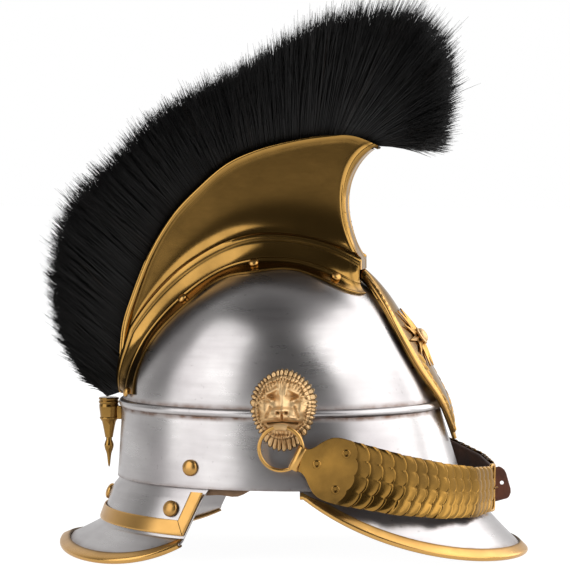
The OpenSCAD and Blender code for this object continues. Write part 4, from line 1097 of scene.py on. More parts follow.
def set_shape(name, shape, places, finish, sizes=None):
    """One plain mesh with a copy of the shape at every (point, axes) pair of places."""
    mesh = bpy.data.meshes.new("places")
    mesh.from_pydata([(p * MM).tolist() for p, _ in places], [], [])
    turns = [list(Matrix(axes.tolist()).to_euler("XYZ")) for _, axes in places]
    sizes = [(1, 1, 1)] * len(places) if sizes is None else sizes
    for key, values in (("turn", turns), ("size", sizes)):
        layer = mesh.attributes.new(key, "FLOAT_VECTOR", "POINT")
        layer.data.foreach_set("vector", np.asarray(values, dtype=np.float32).ravel())
    source = bpy.data.objects.new("places", mesh)
    bpy.context.collection.objects.link(source)
    modifier = source.modifiers.new("copies", "NODES")
    modifier.node_group = setting_tree_nodes
    modifier[SHAPE_INPUT] = shape
    modifier[FINISH_INPUT] = materials[finish]
    piece = plain_mesh_of(source, name)
    return piece


def turned_shape(name, profile, steps=40):
    """A shape turned on a lathe from (radius, height) pairs in millimetres, round its Z axis."""
    profile = np.asarray(profile, float)
    a = np.radians(np.arange(steps) * 360 / steps)
    rings = [np.stack([r * np.cos(a), r * np.sin(a), 0 * a + h], 1) for r, h in profile]
    points = np.concatenate(rings)
    faces = grid_faces(len(profile), steps, 0, True)
    for ring, height in ((0, profile[0][1]), (len(profile) - 1, profile[-1][1])):
        points = np.concatenate([points, [[0, 0, height]]])
        faces += [[ring * steps + j, ring * steps + (j + 1) % steps, len(points) - 1]
                  for j in range(steps)]
    mesh = bpy.data.meshes.new(name)
    mesh.from_pydata((points * MM).tolist(), [], faces)
    shape = bpy.data.objects.new(name, mesh)
    recalculate(shape)
    mesh.shade_smooth()
    mesh.set_sharp_from_angle(angle=math.radians(50))
    return shape


def dome_profile(radius, height):
    turn = np.radians(np.linspace(0, 88, 10))
    rows = [(radius, 0), (radius, 0.18 * height)]
    return rows + [(radius * math.cos(t), height * (0.22 + 0.78 * math.sin(t))) for t in turn]


big_rivet = turned_shape("big_rivet", dome_profile(5.4, 3.4))
small_rivet = turned_shape("small_rivet", dome_profile(3.2, 2.3), 28)


def on_skull(angle, z):
    p = skull_at(np.array([float(angle)]), np.array([float(z)]))
    return frame_at(off_skull(p, np.array([CLEAR]))[0], skull_normal(p)[0])


def on_rear_peak(angle, v, height):
    a, w = np.array([float(angle)]), np.array([float(v)])
    n = peak_normal(rear_peak, a, w)[0]
    return frame_at(rear_peak(a, w)[0] + n * height, n)


peak_places = [on_skull(side * a, RIM_Z + up) for a, up in ((118, 13), (27, 6)) for side in (1, -1)]
peak_places += [on_rear_peak(180 + turn, 0.22, CLEAR + SAG) for turn in (10 - REAR_END, 0, REAR_END - 10)]
peak_rivets = set_shape("peak_rivets", big_rivet, peak_places, "trim_brass")
comb_places = []
for u in RIVET_U:
    for side in (1, -1):
        high, low = (flange(np.array([u]), np.array([w]))[0] for w in (0.47, 0.77))
        down = unit(high - low)
        out = skull_normal(low[None])[0]
        n = unit(out - down * (out @ down))
        p = (high + low) / 2 + n * (BRASS + 0.25)
        comb_places.append(frame_at(p * [1, side, 1], n * [1, side, 1]))
flange_rivets = set_shape("flange_rivets", small_rivet, comb_places, "trim_brass")
for piece, node in ((peak_rivets, "visor_rivets"), (flange_rivets, "comb_rivets")):
    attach(piece, "helmet")
    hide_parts(node)
    print(piece.name, len(piece.data.polygons), "faces")
boss_profile = [(0.1, -1.2), (5.6, -1.2), (6.2, -0.6), (6.2, 0.2), (5.2, 0.7)] + dome_profile(5.0, 3.4)[2:]
boss = set_shape("shield_boss", turned_shape("boss", boss_profile),
                 [frame_at(boss_at, skull_normal(boss_at[None])[0])], "cast_brass")
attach(boss, "helmet")
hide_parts("front_plate_star")

# %% [markdown]
# Each side of the helmet carries a cast lion's mask. It is a relief: the height above the skull is a
# sum of swellings and hollows for brow, eyes, cheeks, nose and muzzle, and two rings of twisted
# locks make the mane. Where the relief lies lower than its surroundings, painted shade and dirt darken it.

# %% Lion masks
MASK_X, MASK_Z, MASK_W, MASK_H, BEARD = 7.0, BEAD_Z + 5, 20.5, 23.0, 5.0


def swell(x, y, width, height):
    return np.exp(-(x / width) ** 2 - (y / height) ** 2)


def ridge_line(u, v, a, b, width):
    """A rounded ridge along the line from a to b."""
    d = np.subtract(b, a)
    t = np.clip(((u - a[0]) * d[0] + (v - a[1]) * d[1]) / (d @ d), 0, 1)
    return np.exp(-((u - a[0] - t * d[0]) ** 2 + (v - a[1] - t * d[1]) ** 2) / width ** 2)


def lock_wave(a, q):
    """The mane's locks round the face: 44 of them, of uneven width, each curled its own way."""
    uneven = (26 * np.sin(np.radians(3 * a)) + 24 * np.sin(np.radians(7 * a + 40))
              + 18 * np.sin(np.radians(11 * a)))
    curl = 150 * np.sin(np.radians(5 * a + 20)) + 90
    return np.abs(np.sin(np.radians(a * 22 + uneven + curl * (q - 0.7))))


def lion_relief(u, v):
    """Height of the mask above the skull. Its half width and half height are 1, and s and z are
    the same place in the face's own measure, which is a little smaller than the mask."""
    q = np.hypot(u, v)
    a = np.degrees(np.arctan2(v, u))
    s, z = 0.8 * np.abs(u), 0.84 * v - 0.107
    above = np.clip(v * 3 + 0.4, 0, 1)
    h = 1.5 + 5.6 * np.clip(1 - (q / 0.88) ** 2.8, 0, 1) ** 0.55
    mane = np.clip((q - 0.76 - 0.03 * np.sin(np.radians(9 * a))) / 0.06, 0, 1)
    locks = lock_wave(a, q)
    under = lock_wave(a + 4.7, q)
    thinner = 1 - 0.4 * np.clip(q * 5 - 4, 0, 1)
    h = h + mane * (1.0 + 1.8 * locks ** 0.8 - 0.6 * bell(locks, 0, 0.25)) * thinner
    h = h + 1.3 * under ** 0.8 * bell(q, 0.8, 0.05) + 0.35 * mane * np.abs(np.sin(np.radians(a * 57)))
    h = h + 1.0 * lock_wave(a + 2, q) * bell(q, 0.7, 0.05) * above
    h = h + 2.3 * ridge_line(s, z, (0.17, 0.33), (0.5, 0.14), 0.05)
    h = h + 0.9 * ridge_line(s, z, (0.08, 0.2), (0.1, 0.44), 0.03) - 0.8 * swell(u, z - 0.38, 0.03, 0.1)
    h = h - 4.2 * swell(s - 0.29, z - 0.12, 0.14, 0.08)
    h = h + 2.0 * ridge_line(s, z, (0.25, 0.07), (0.4, 0.12), 0.04)
    h = h + 2.4 * ridge_line(u, z, (0.0, 0.28), (0.0, -0.1), 0.12)
    h = h + 2.6 * swell(u, z + 0.15, 0.24, 0.07) - 2.8 * swell(s - 0.1, z + 0.215, 0.05, 0.03)
    h = h + 3.0 * swell(s - 0.2, z + 0.3, 0.17, 0.1)
    h = h - 1.6 * bell(u, 0, 0.03) * swell(u, z + 0.31, 0.3, 0.11)
    h = h - 0.5 * np.abs(np.sin(z * 46 + s * 9)) * swell(s - 0.26, z + 0.3, 0.11, 0.07)
    h = h + 3.2 * swell(s - 0.47, z + 0.1, 0.15, 0.17)
    h = h - 1.4 * ridge_line(s, z, (0.3, -0.1), (0.4, -0.33), 0.035)
    jaw = np.exp(-((v + 0.52) / 0.12) ** 4) * np.exp(-(u / 0.45) ** 4)
    h = lerp(h, 4.4, jaw)
    h = h - 2.4 * ridge_line(np.abs(u), v, (0.0, -0.4), (0.46, -0.44), 0.03)
    beard = np.abs(np.sin(np.radians(u * 1500 + v * 60)))
    return np.maximum(0.9, h + (2.2 + 1.1 * beard) * swell(u, v + 0.84, 0.3, 0.14))


def add_lion(side):
    q = np.linspace(0.012, 1, 84)[:, None]
    a = np.arange(380)[None, :] * 360 / 380
    low = np.clip((-np.sin(np.radians(a)) - 0.8) * 5, 0, 1)
    fringe = 0.08 * (lock_wave(a, 0.97) - 0.5) + 0.02 * np.sin(np.radians(5 * a))
    edge = 1 + fringe * q ** 4 + low * q * BEARD / MASK_H
    u, v = q * edge * np.cos(np.radians(a)), q * edge * np.sin(np.radians(a))
    x, z = MASK_X + MASK_W * u, MASK_Z + MASK_H * v
    seat = side_y(x, z) + CLEAR + BEAD * np.exp(-((z - BEAD_Z) / 4.5) ** 4)
    relief = lion_relief(u, v)
    outer = np.stack([x, seat + relief, z], -1) * [1, side, 1]
    inner = np.stack([x, seat, z], -1) * [1, side, 1]
    pole = np.array([MASK_X, side_y(MASK_X, MASK_Z) + CLEAR, MASK_Z])
    tip = lion_relief(np.array([0.0]), np.array([0.0]))[0]
    # Painted shade, with some dirt: the hollows of the relief are darkened.
    cavity, wear = hollows(relief, 2, 1.7)
    points, faces = bowl(outer, inner, (pole + [0, tip, 0]) * [1, side, 1], pole * [1, side, 1])
    zero = np.zeros(cavity.size)
    return make_mesh("lion_mask_" + ("left" if side > 0 else "right"), points, faces, 80,
                     "cast_brass", {"wear": np.concatenate([wear.ravel(), zero, [0, 0]]),
                                    "cavity": np.concatenate([cavity.ravel(), zero, [0, 0]])})


for side, node in ((1, "lion_left"), (-1, "lion_right")):
    lion = add_lion(side)
    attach(lion, "helmet")
    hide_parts(node)
    print(lion.name, len(lion.data.polygons), "faces")

# %% [markdown]
# A ring hangs in each lion's jaw. A short sleeve of brass closes round the ring's wire, so the ring
# can turn in it, and a stem holds the sleeve to the mask. The ring is a swept circle of even
# wire.

# %% Rings and the sleeves that hold them
RING_R, WIRE, RING_OUT = 14.0, 2.5, 9.0
RING_Y, RING_Z = RIM_WIDTH / 2 + RING_OUT, BEAD_Z - 20.4


def tube_round(centre, radius, start, end, count, profile_radius, sides, closed=False):
    """Rows of a tube swept along an arc in the XZ plane round a centre, angles in degrees."""
    turn = np.radians(np.linspace(start, end, count, endpoint=not closed))[:, None]
    ring = np.radians(np.arange(sides) * 360 / sides)[None, :]
    out = radius + profile_radius * np.cos(ring)
    x, y, z = out * np.cos(turn), profile_radius * np.sin(ring), out * np.sin(turn)
    return np.stack(np.broadcast_arrays(centre[0] + x, centre[1] + y, centre[2] + z), -1)


def add_ring(side):
    rows = tube_round((MASK_X, side * RING_Y, RING_Z), RING_R, 0, 360, 128, WIRE / 2, 18, True)
    count, sides = rows.shape[:2]
    faces = [[i * sides + j, i * sides + (j + 1) % sides, (i + 1) % count * sides + (j + 1) % sides,
              (i + 1) % count * sides + j] for i in range(count) for j in range(sides)]
    wear = np.full(count * sides, 0.55)
    return make_mesh("ring_" + ("left" if side > 0 else "right") + "_wire", rows.reshape(-1, 3), faces,
                     80, "trim_brass", {"wear": wear})


def add_sleeves():
    solids = []
    top = RING_Z + RING_R
    foot = side_y(MASK_X, top) + CLEAR + BEAD * math.exp(-((top - BEAD_Z) / 4.5) ** 4)
    for side in (1, -1):
        centre = (MASK_X, side * RING_Y, RING_Z)
        outer = tube_round(centre, RING_R, 73, 107, 13, 2.5, 28)
        inner = tube_round(centre, RING_R, 73, 107, 13, WIRE / 2 + 0.45, 28)
        solids.append(joined_grids(outer, inner, True))
        y = np.linspace(foot + 6.5, RING_Y - 2.3, 5)[:, None]
        t = np.radians(np.arange(24) * 15)[None, :]
        spread = 1 + 0.5 * ((y - y.mean()) / 3) ** 2
        stem = np.stack(np.broadcast_arrays(MASK_X + 1.7 * spread * np.cos(t), y * side,
                                            RING_Z + RING_R + 0.95 * spread * np.sin(t)), -1)
        core = np.stack(np.broadcast_arrays(MASK_X + 0.2 * np.cos(t), y * side,
                                            RING_Z + RING_R + 0.2 * np.sin(t)), -1)
        solids.append(joined_grids(stem, core, True))
    points, faces = joined_parts(solids)
    return make_mesh("ring_sleeves", points, faces, 50, "cast_brass")


for side, node in ((1, "ring_left"), (-1, "ring_right")):
    ring = add_ring(side)
    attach(ring, node)
    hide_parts(node)
sleeves = add_sleeves()
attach(sleeves, "helmet")
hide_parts("ring_staples")
print("rings and sleeves made")

# %% [markdown]
# A chinstrap hangs from each ring. It is a dyed leather strap that carries rows of brass scales, and
# it bends at four places, as the CAD model's joints do. Each part of it is drawn in the frame of its
# own section: X runs along the strap, Y out of it and Z across it.

# %% Where the chinstraps run
GATE = math.radians(27)
HINGE = np.array([MASK_X + RING_R * math.cos(GATE), RING_Y, RING_Z - RING_R * math.sin(GATE)])
HINGE_AXIS = np.array([math.sin(GATE), 0, math.cos(GATE)])
STRAP_FRONT_Z, STRAP_REACH = RIM_Z - 6, RIM_FRONT + 19.5 - HINGE[0]
PARTS, FIRST_TURN, LAST_TURN = 4, 16.5, 84.0
STRAP_W, STRAP_END_W, LEATHER, SCALE, ROWS = 42.0, 30.0, 1.8, 0.8, 4
OVERHANG, LOBES, LOBE_DEPTH, BOW = 2.6, 4, 2.0, 7.0
TAIL_GAP, LEATHER_Y = OVERHANG + CLEAR, LEATHER / 2
LUG_Y = LEATHER_Y + 3 * CLEAR + 2 * SCALE
SIDES = ((1, "left"), (-1, "right"))


def strap_point(turn):
    t = math.radians(turn)
    return np.array([HINGE[0] + STRAP_REACH * math.sin(t), RING_Y * math.cos(t),
                     STRAP_FRONT_Z + (HINGE[2] - STRAP_FRONT_Z) * (1 - turn / LAST_TURN) ** 2])


def knot(k):
    return HINGE if k < 0 else strap_point(lerp(FIRST_TURN, LAST_TURN, k / PARTS))


def run(k):
    return float(np.linalg.norm(knot(k + 1) - knot(k)))


def width_at(k):
    return lerp(STRAP_W, STRAP_END_W, max(0, k) / PARTS)


def section(k):
    """The origin and the axes, as columns, of a section of the left strap."""
    x = unit(knot(k + 1) - knot(k))
    z = unit(np.array([0, 0, 1]) - x * x[2])
    return knot(k), np.stack([x, np.cross(z, x), z], 1)


def in_section(k, side, local):
    origin, axes = section(k)
    return (origin + np.asarray(local) @ axes.T) * [1, side, 1]


def seat_in_section(k, side, local):
    """A place in a section for a shape that is the same on both sides of its XY plane."""
    _, axes = section(k)
    x, y = axes[:, 0] * [1, side, 1], axes[:, 1] * [1, side, 1]
    return in_section(k, side, local), np.stack([x, y, np.cross(x, y)], 1)


print("sections", [round(run(k), 1) for k in range(-1, PARTS)], "mm")

# %% [markdown]
# A scale is thin brass sheet, pressed a little round and cut in lobes along a bowed free edge with
# a fine turned lip. It lies over the tail of the next one, so its body rises a little towards the
# free edge. The lip is rubbed bright, and a painted shadow, with some dirt, darkens the next scale where it
# comes out from under it.

# %% Brass scales
SCALE_W, SCALE_PITCH, SHEET = 40.0, 8.3, 0.6


def scale_edge(across, length):
    """The free edge: lobes on a line that bows forwards in its middle."""
    lobe = np.abs((across + 1) / 2 * LOBES % 1 * 2 - 1)
    return length + OVERHANG - LOBE_DEPTH * (1 - np.sqrt(1 - (0.985 * lobe) ** 2)) - BOW * across ** 2, lobe


def scale_shape():
    across = np.linspace(-1, 1, LOBES * 14 + 1)[None, :]
    edge, lobe = scale_edge(across, SCALE_PITCH)
    start = -1.2 - BOW * across ** 2
    r = np.array([0, 0.12, 0.25, 0.38, 0.5, 0.62, 0.74, 0.84, 0.9, 0.94, 0.975, 1.0])[:, None]
    x = lerp(start, edge, r)
    rise = (SCALE + 2 * CLEAR) / SCALE_PITCH
    round_back = 0.5 * np.sin(np.pi * np.clip((r - 0.2) / 0.8, 0, 1)) - 0.5 * np.abs(across) ** 14
    body = np.maximum(0, (x + BOW * across ** 2) * rise) + round_back + 0.03 * (1 - lobe ** 2)
    lip = 0.22 * bell(r, 0.965, 0.03) - 0.12 * bell(r, 0.9, 0.03)
    z = across * SCALE_W / 2 + 0 * r
    outer = np.stack([x, body + SHEET + lip, z], -1)
    inner = np.stack([x, body, z], -1)
    points, faces = joined_grids(outer, inner)
    mesh = bpy.data.meshes.new("scale")
    mesh.from_pydata((points * MM).tolist(), [], faces)
    wear = np.clip(bell(r, 0.985, 0.045) * 1.3, 0, 1) + 0 * x
    # Painted shadow, with some dirt: a dark band on the tail, just past the edge of the scale that lies over
    # it.
    grime_and_shade = 0.9 * bell(r, 0.31, 0.08) + 0 * x
    for key, values in (("wear", wear), ("cavity", grime_and_shade)):
        layer = mesh.attributes.new(key, "FLOAT", "POINT")
        layer.data.foreach_set("value", np.tile(values.ravel(), 2).astype(np.float32))
    shape = bpy.data.objects.new("scale", mesh)
    recalculate(shape)
    mesh.shade_smooth()
    mesh.set_sharp_from_angle(angle=math.radians(40))
    return shape


one_scale = scale_shape()
for side, word in SIDES:
    for k in range(PARTS):
        pitch = run(k) / ROWS
        places = [seat_in_section(k, side, (i * pitch, LEATHER_Y + CLEAR, 0)) for i in range(ROWS)]
        sizes = [(pitch / SCALE_PITCH, 1, lerp(width_at(k), width_at(k + 1), (i + 0.5) / ROWS) / SCALE_W)
                 for i in range(ROWS)]
        name = f"scales_{word}_{k + 1}"
        scales = set_shape("brass_" + name, one_scale, places, "scale_brass", sizes)
        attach(scales, f"strap_{word}_{k + 1}")
        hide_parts(name)
print("one scale has", len(one_scale.data.polygons), "faces")

# %% [markdown]
# The strap's leather is cut in pieces that end in the middle of each section, where nothing bends,
# so each piece spans the joint in its middle. Its edges are rounded, and a creased line runs along
# each of them.

# %% Strap leather


def centre_line(s):
    """Point, out and across directions at a length s from the first knot, with eased corners."""
    total = np.zeros((3, 3))
    steps = np.linspace(-4, 4, 9)
    for step in steps:
        k, rest = 0, s + step
        while k < PARTS - 1 and rest > run(k):
            rest -= run(k)
            k += 1
        k = -1 if rest < 0 else k
        origin, axes = section(k)
        along_it = rest + (run(-1) if k < 0 else 0)
        total += np.stack([origin + axes[:, 0] * along_it, axes[:, 1], axes[:, 2]])
    return total / len(steps)


half_across = np.array([0.5, 0.82, 0.86, 0.9, 0.95, 0.985, 1])
STRAP_ACROSS = np.concatenate([-half_across[::-1], [0], half_across])


def strap_piece(name, s0, s1, side):
    rows_out, rows_in = [], []
    whole = sum(run(k) for k in range(PARTS))
    for s in np.linspace(s0, s1, 26):
        p, y, z = centre_line(s)
        half = lerp(STRAP_W, STRAP_END_W, np.clip(s / whole, 0, 1)) / 2 - 1
        out = np.abs(STRAP_ACROSS)
        thick = LEATHER_Y * (1 - 0.65 * out ** 40) - 0.16 * bell(out, 0.86, 0.02)
        rows_out.append(p + z * (STRAP_ACROSS * half)[:, None] + y * thick[:, None])
        rows_in.append(p + z * (STRAP_ACROSS * half)[:, None] - y * thick[:, None])
    turn = [1, side, 1]
    return sheet_piece(name, np.stack(rows_out) * turn, np.stack(rows_in) * turn,
                       "strap_leather", angle=60)


for side, word in SIDES:
    start = -6.0
    for k in range(PARTS):
        at_knot = sum(run(j) for j in range(k))
        end = at_knot + (run(k) + TAIL_GAP if k == PARTS - 1 else run(k) / 2)
        leather_piece = strap_piece(f"strap_leather_{word}_{k + 1}", start, end, side)
        reach = [centre_line(at_knot + d)[0] * [1, side, 1] * MM for d in (-3.5, 3.5)]
        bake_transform(leather_piece)
        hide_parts(f"strap_{word}_{k + 1}")
        start = end
print("strap leather made")

# %% [markdown]
# The lug that joins the strap to the ring is cut from plate, so it is drawn as a flat filled curve
# with round holes and eased edges. Its front edge is lobed like a scale, a knuckle is rolled round
# the ring, and three eyelets rivet it to the leather under it. The buckle is cut the same way.

# %% Pieces cut to an outline


def cut_plate(name, outline, holes, low, high, ease, spot, side, finish):
    """A filled 2D curve made a mesh. Its X, Y and height become X, Z and Y of the spot it is set at.
    Its flat sides are shaded flat, so that the eased edges don't bend what they mirror."""
    data = bpy.data.curves.new(name, "CURVE")
    data.dimensions, data.fill_mode = "2D", "BOTH"
    data.extrude, data.bevel_depth, data.offset = (high - low) / 2 - ease, ease, -ease
    data.bevel_resolution = 2
    for loop in [outline] + holes:
        spline = data.splines.new("POLY")
        spline.points.add(len(loop) - 1)
        spline.points.foreach_set("co", [c for x, y in loop for c in (x, y, 0.0, 1.0)])
        spline.use_cyclic_u = True
    source = bpy.data.objects.new(name, data)
    bpy.context.collection.objects.link(source)
    mesh = bpy.data.meshes.new_from_object(source.evaluated_get(bpy.context.evaluated_depsgraph_get()))
    flat = np.empty(3 * len(mesh.vertices))
    mesh.vertices.foreach_get("co", flat)
    flat = flat.reshape(-1, 3)
    origin, axes = spot
    local = np.stack([flat[:, 0], flat[:, 2] + (high + low) / 2, flat[:, 1]], 1)
    faces = [list(face.vertices) for face in mesh.polygons]
    bpy.data.objects.remove(source)
    piece = make_mesh(name, (origin + local @ axes.T) * [1, side, 1], faces, 40, finish)
    out = axes[:, 1] * [1, side, 1]
    for face in piece.data.polygons:
        face.use_smooth = abs(np.dot(face.normal, out)) < 0.995
    return piece


def round_hole(x, y, radius):
    return [(x + radius * math.cos(a), y + radius * math.sin(a))
            for a in np.arange(24) * 2 * math.pi / 24]


def smoothed(points, count):
    spread = curve([[x, z, 0] for x, z in points], np.linspace(0, 1, count))
    return [(x, z) for x, z, _ in spread.tolist()]


def lug_outline(length):
    side_points = [(0.8, 7.7), (3.4, 8.1), (6.6, 10.4), (10, 14.4), (14.5, 18.6), (20, 20.6)]
    side_line = smoothed(side_points + [(length - 7, 21)], 22)
    across = np.linspace(0.99, -0.99, 61)
    edge, _ = scale_edge(across, length)
    front = list(zip(edge.tolist(), (across * STRAP_W / 2).tolist()))
    other = [(x, -z) for x, z in side_line[::-1]]
    return side_line + front + other + [(0.7, -4), (0.6, 0), (0.7, 4)]


EYELETS = [(11, 0), (27, 12), (27, -12)]
eyelet = turned_shape("eyelet", [(1.2, -2.6), (1.2, 0.5), (1.45, 0.75), (2.0, 0.8), (2.6, 0.55),
                                 (2.9, 0.05), (1.9, 0.0), (1.9, -2.6), (1.2, -2.6)], 32)
ROLL, ROLL_WALL, ROLL_HALF, ROLL_AT = 3.5, 0.5, 7.85, (-1.13, 0.9, 0.0)
roll_profile = [(ROLL - ROLL_WALL, -ROLL_HALF), (ROLL - ROLL_WALL, ROLL_HALF)]
roll_profile += [(ROLL - 0.1, ROLL_HALF), (ROLL, ROLL_HALF - 0.15), (ROLL, 0.15 - ROLL_HALF),
                 (ROLL - 0.1, -ROLL_HALF), (ROLL - ROLL_WALL, -ROLL_HALF)]
knuckle_shape = turned_shape("knuckle", roll_profile, 48)
for side, word in SIDES:
    length = run(-1)
    holes = [round_hole(x, z, 2.05) for x, z in EYELETS]
    plate = cut_plate(f"lug_plate_{word}", lug_outline(length), holes, LUG_Y, LUG_Y + 1, 0.25,
                      section(-1), side, "scale_brass")
    under = [(6.8, 6.8), (10, 11.8), (14.5, 15.8), (20, 19.8), (length - 12, 20)]
    leather_line = smoothed(under, 20)
    leather_line += [(length - 3 - BOW * c ** 2, 20 * c) for c in np.linspace(0.96, 0, 8)]
    pad = cut_plate(f"lug_pad_{word}", leather_line + [(x, -z) for x, z in leather_line[::-1]], holes,
                    -LEATHER_Y, LUG_Y - CLEAR, 0.4, section(-1), side, "strap_leather")
    places = []
    for x, z in EYELETS:
        origin, axes = seat_in_section(-1, side, (x, LUG_Y + 1, z))
        places.append((origin, np.stack([axes[:, 0], -axes[:, 2], axes[:, 1]], 1)))
    rims = set_shape(f"lug_rims_{word}", eyelet, places, "scale_brass")
    knuckle = set_shape(f"lug_knuckle_{word}", knuckle_shape,
                        [frame_at(in_section(-1, side, ROLL_AT), HINGE_AXIS)], "trim_brass")
    for piece, node in ((plate, f"lug_{word}"), (pad, f"lug_leather_{word}"), (rims, f"lug_eyelets_{word}"),
                        (knuckle, f"lug_{word}")):
        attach(piece, f"lug_{word}")
        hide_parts(node)
print("lugs made")

# %% [markdown]
# The straps meet under the chin. The right one ends in a brass buckle with a loose prong, and the
# left one in a short leather billet with a hole for the prong, which hangs a little askew.

# %% Buckle and billet
BUCKLE_LONG, BUCKLE_BAR, BUCKLE_HALF = 9.0, 2.0, STRAP_END_W / 2 + 1
END = run(PARTS - 1) + TAIL_GAP + CLEAR


def rounded_box(x0, x1, half, radius):
    corners = [(x1 - radius, half - radius, 0), (x1 - radius, radius - half, -90),
               (x0 + radius, radius - half, -180), (x0 + radius, half - radius, -270)]
    return [(x + radius * math.sin(math.radians(-a + t)), z + radius * math.cos(math.radians(-a + t)))
            for x, z, a in corners for t in (0, 22.5, 45, 67.5, 90)]


frame_line = rounded_box(END, END + BUCKLE_LONG, BUCKLE_HALF, 2.6)
inside = rounded_box(END + BUCKLE_BAR, END + BUCKLE_LONG - BUCKLE_BAR, BUCKLE_HALF - BUCKLE_BAR, 1.2)
buckle = cut_plate("buckle_loop", frame_line, [inside[::-1]], -1, 1, 0.6, section(PARTS - 1), -1,
                   "trim_brass")
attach(buckle, "strap_right_4")
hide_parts("buckle_frame")

x = np.linspace(END + BUCKLE_BAR / 2, END + BUCKLE_LONG, 15)
t = np.radians(np.arange(20) * 18)[None, :]
share = np.linspace(0, 1, 15)[:, None]
thick = 1.0 * (1 - 0.35 * share) * np.sqrt(np.clip((1.02 - share) * 12, 0, 1))
lift = 1 + CLEAR + 1.0
outer = np.stack(np.broadcast_arrays(x[:, None], lift + thick * np.cos(t), thick * np.sin(t)), -1)
core = np.stack(np.broadcast_arrays(x[:, None], lift + 0 * t + 0 * share, 0.02 * np.sin(t)), -1)
prong = sheet_piece("buckle_tongue", in_section(PARTS - 1, -1, outer), in_section(PARTS - 1, -1, core),
                    "trim_brass", wrap=True)
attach(prong, "buckle_prong")
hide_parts("buckle_prong")

last_axis = section(PARTS - 1)[1][:, 0]
billet_at = knot(PARTS) + last_axis * (TAIL_GAP + CLEAR) - np.array([0, LEATHER + CLEAR, 0])
half = STRAP_END_W / 2 - 4
lean = math.radians(16)
up, along = math.sin(lean), math.cos(lean)
BILLET_TURN = np.array([[along, 0, -up], [0, 1, 0], [up, 0, along]])
billet_line = [(0, half), (8.2, half), (9.6, half - 0.7), (11.4, half - 3), (12, half - 5.5)]
billet_line += [(x, -z) for x, z in billet_line[::-1]]
billet = cut_plate("strap_billet", billet_line, [round_hole(7.5, 0, 1.3)], 0, LEATHER, 0.35,
                   (billet_at, BILLET_TURN), 1, "billet_leather")
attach(billet, "strap_left_4")
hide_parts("billet")
print("buckle", round(BUCKLE_HALF * 2, 1), "mm wide")

# %% [markdown]
# Behind the skull the crest ends in a turned ferrule, with two raised rings round its mouth and a
# collar lower down. A pointed finial hangs under it. Both were turned on a lathe, so their profiles
# are spun round an upright axis, and a short bracket holds the ferrule off the skull.

# %% Ferrule and finial
FERRULE = [(0.2, -0.2), (6.3, 0.0), (6.75, -0.25), (6.9, -0.7), (6.8, -1.2), (6.35, -1.6), (6.25, -1.9),
           (6.4, -2.2), (6.85, -2.5), (6.9, -3.1), (6.8, -3.6), (6.35, -4.0), (6.3, -4.4), (6.55, -5.0),
           (6.5, -7.0), (6.1, -10.0), (5.75, -13.0), (6.15, -13.4), (6.3, -13.9), (6.1, -14.4),
           (5.5, -15.2), (4.7, -16.4), (4.1, -19.0), (3.3, -23.0), (2.6, -27.0), (0.2, -27.0)]
FINIAL = [(0.2, 0.0), (1.9, 0.0), (2.05, -0.7), (1.95, -1.4), (2.4, -2.4), (2.95, -3.8), (3.2, -5.2),
          (3.05, -6.6), (2.6, -8.2), (2.1, -9.4), (1.6, -11.0), (1.25, -13.5), (1.0, -16.0), (0.75, -18.2),
          (0.4, -19.6), (0.1, -19.95)]
upright = np.eye(3)
for name, profile, drop, node in (("crest_ferrule", FERRULE, 1.2, "tail_ferrule"),
                                  ("crest_finial", FINIAL, 28.3, "tail_finial")):
    shape = turned_shape(name + "_shape", profile, 64)
    piece = set_shape(name, shape, [(TAIL_AT - [0, 0, drop], upright)], "comb_brass")
    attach(piece, "helmet")
    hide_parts(node)
    print(name, len(piece.data.polygons), "faces")
lug_z = BEAD_Z - 13
bracket_rear = TAIL_AT[0] + 5.6
bracket_front = float(middle_x(lug_z)) - float(rear_radius(lug_z)) - 0.4
bracket_box = [(bracket_rear, lug_z), (bracket_rear, lug_z + 9), (bracket_front, lug_z + 9),
               (bracket_front, lug_z)]
bracket = cut_plate("ferrule_bracket", bracket_box, [], -2.5, 2.5, 0.6,
                    (np.zeros(3), upright), 1, "comb_brass")
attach(bracket, "helmet")
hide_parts("tail_ferrule")

# %% [markdown]
# Inside the rim sits the lining: a sewn leather band, and eight tongues that a lace would draw
# together under the crown. Their leather is thick and soft, so the edges are rounded, the band
# swells a little between its stitches, and the tongues have round ends. The band's lower edge is
# worn short, and hangs below the rim only at two places, a little behind the ears.

# %% Lining
LINER_GAP, LINER, TONGUE = PLATE + PEAK + 2 * (CLEAR + SAG), 1.8, 1.5
LINER_LOW, LINER_HIGH = RIM_Z - 4.5, RIM_Z + 30


def add_liner_band():
    angle = np.arange(180)[None, :] * 2.0
    from_side = np.abs(180 - np.abs(angle - 180) - 111)
    ragged = 0.12 * np.sin(np.radians(angle * 17)) + 0.08 * np.sin(np.radians(angle * 31))
    worn = np.exp(-(from_side / 12) ** 4) + ragged
    low = RIM_Z + 1.5 + (LINER_LOW - RIM_Z - 1.5) * np.clip(worn, 0, 1)
    z = lerp(low, LINER_HIGH, np.linspace(0, 1, 22)[:, None])
    ease = 0.7 * np.clip(np.abs(np.linspace(-1, 1, 22)) * 11 - 10, 0, 1)[:, None] ** 2
    swell_out = 0.25 * np.sin(np.radians(angle * 9)) * np.sin(np.radians(angle * 2 + z * 7))
    base = skull_at(angle, z)
    outer = off_skull(base, -LINER_GAP - ease + 0 * angle)
    inner = off_skull(base, -LINER_GAP - LINER + ease + swell_out * (ease == 0) * 0.6)
    return sheet_piece("lining_band", outer, inner, "lining_leather", wrap=True, angle=60)


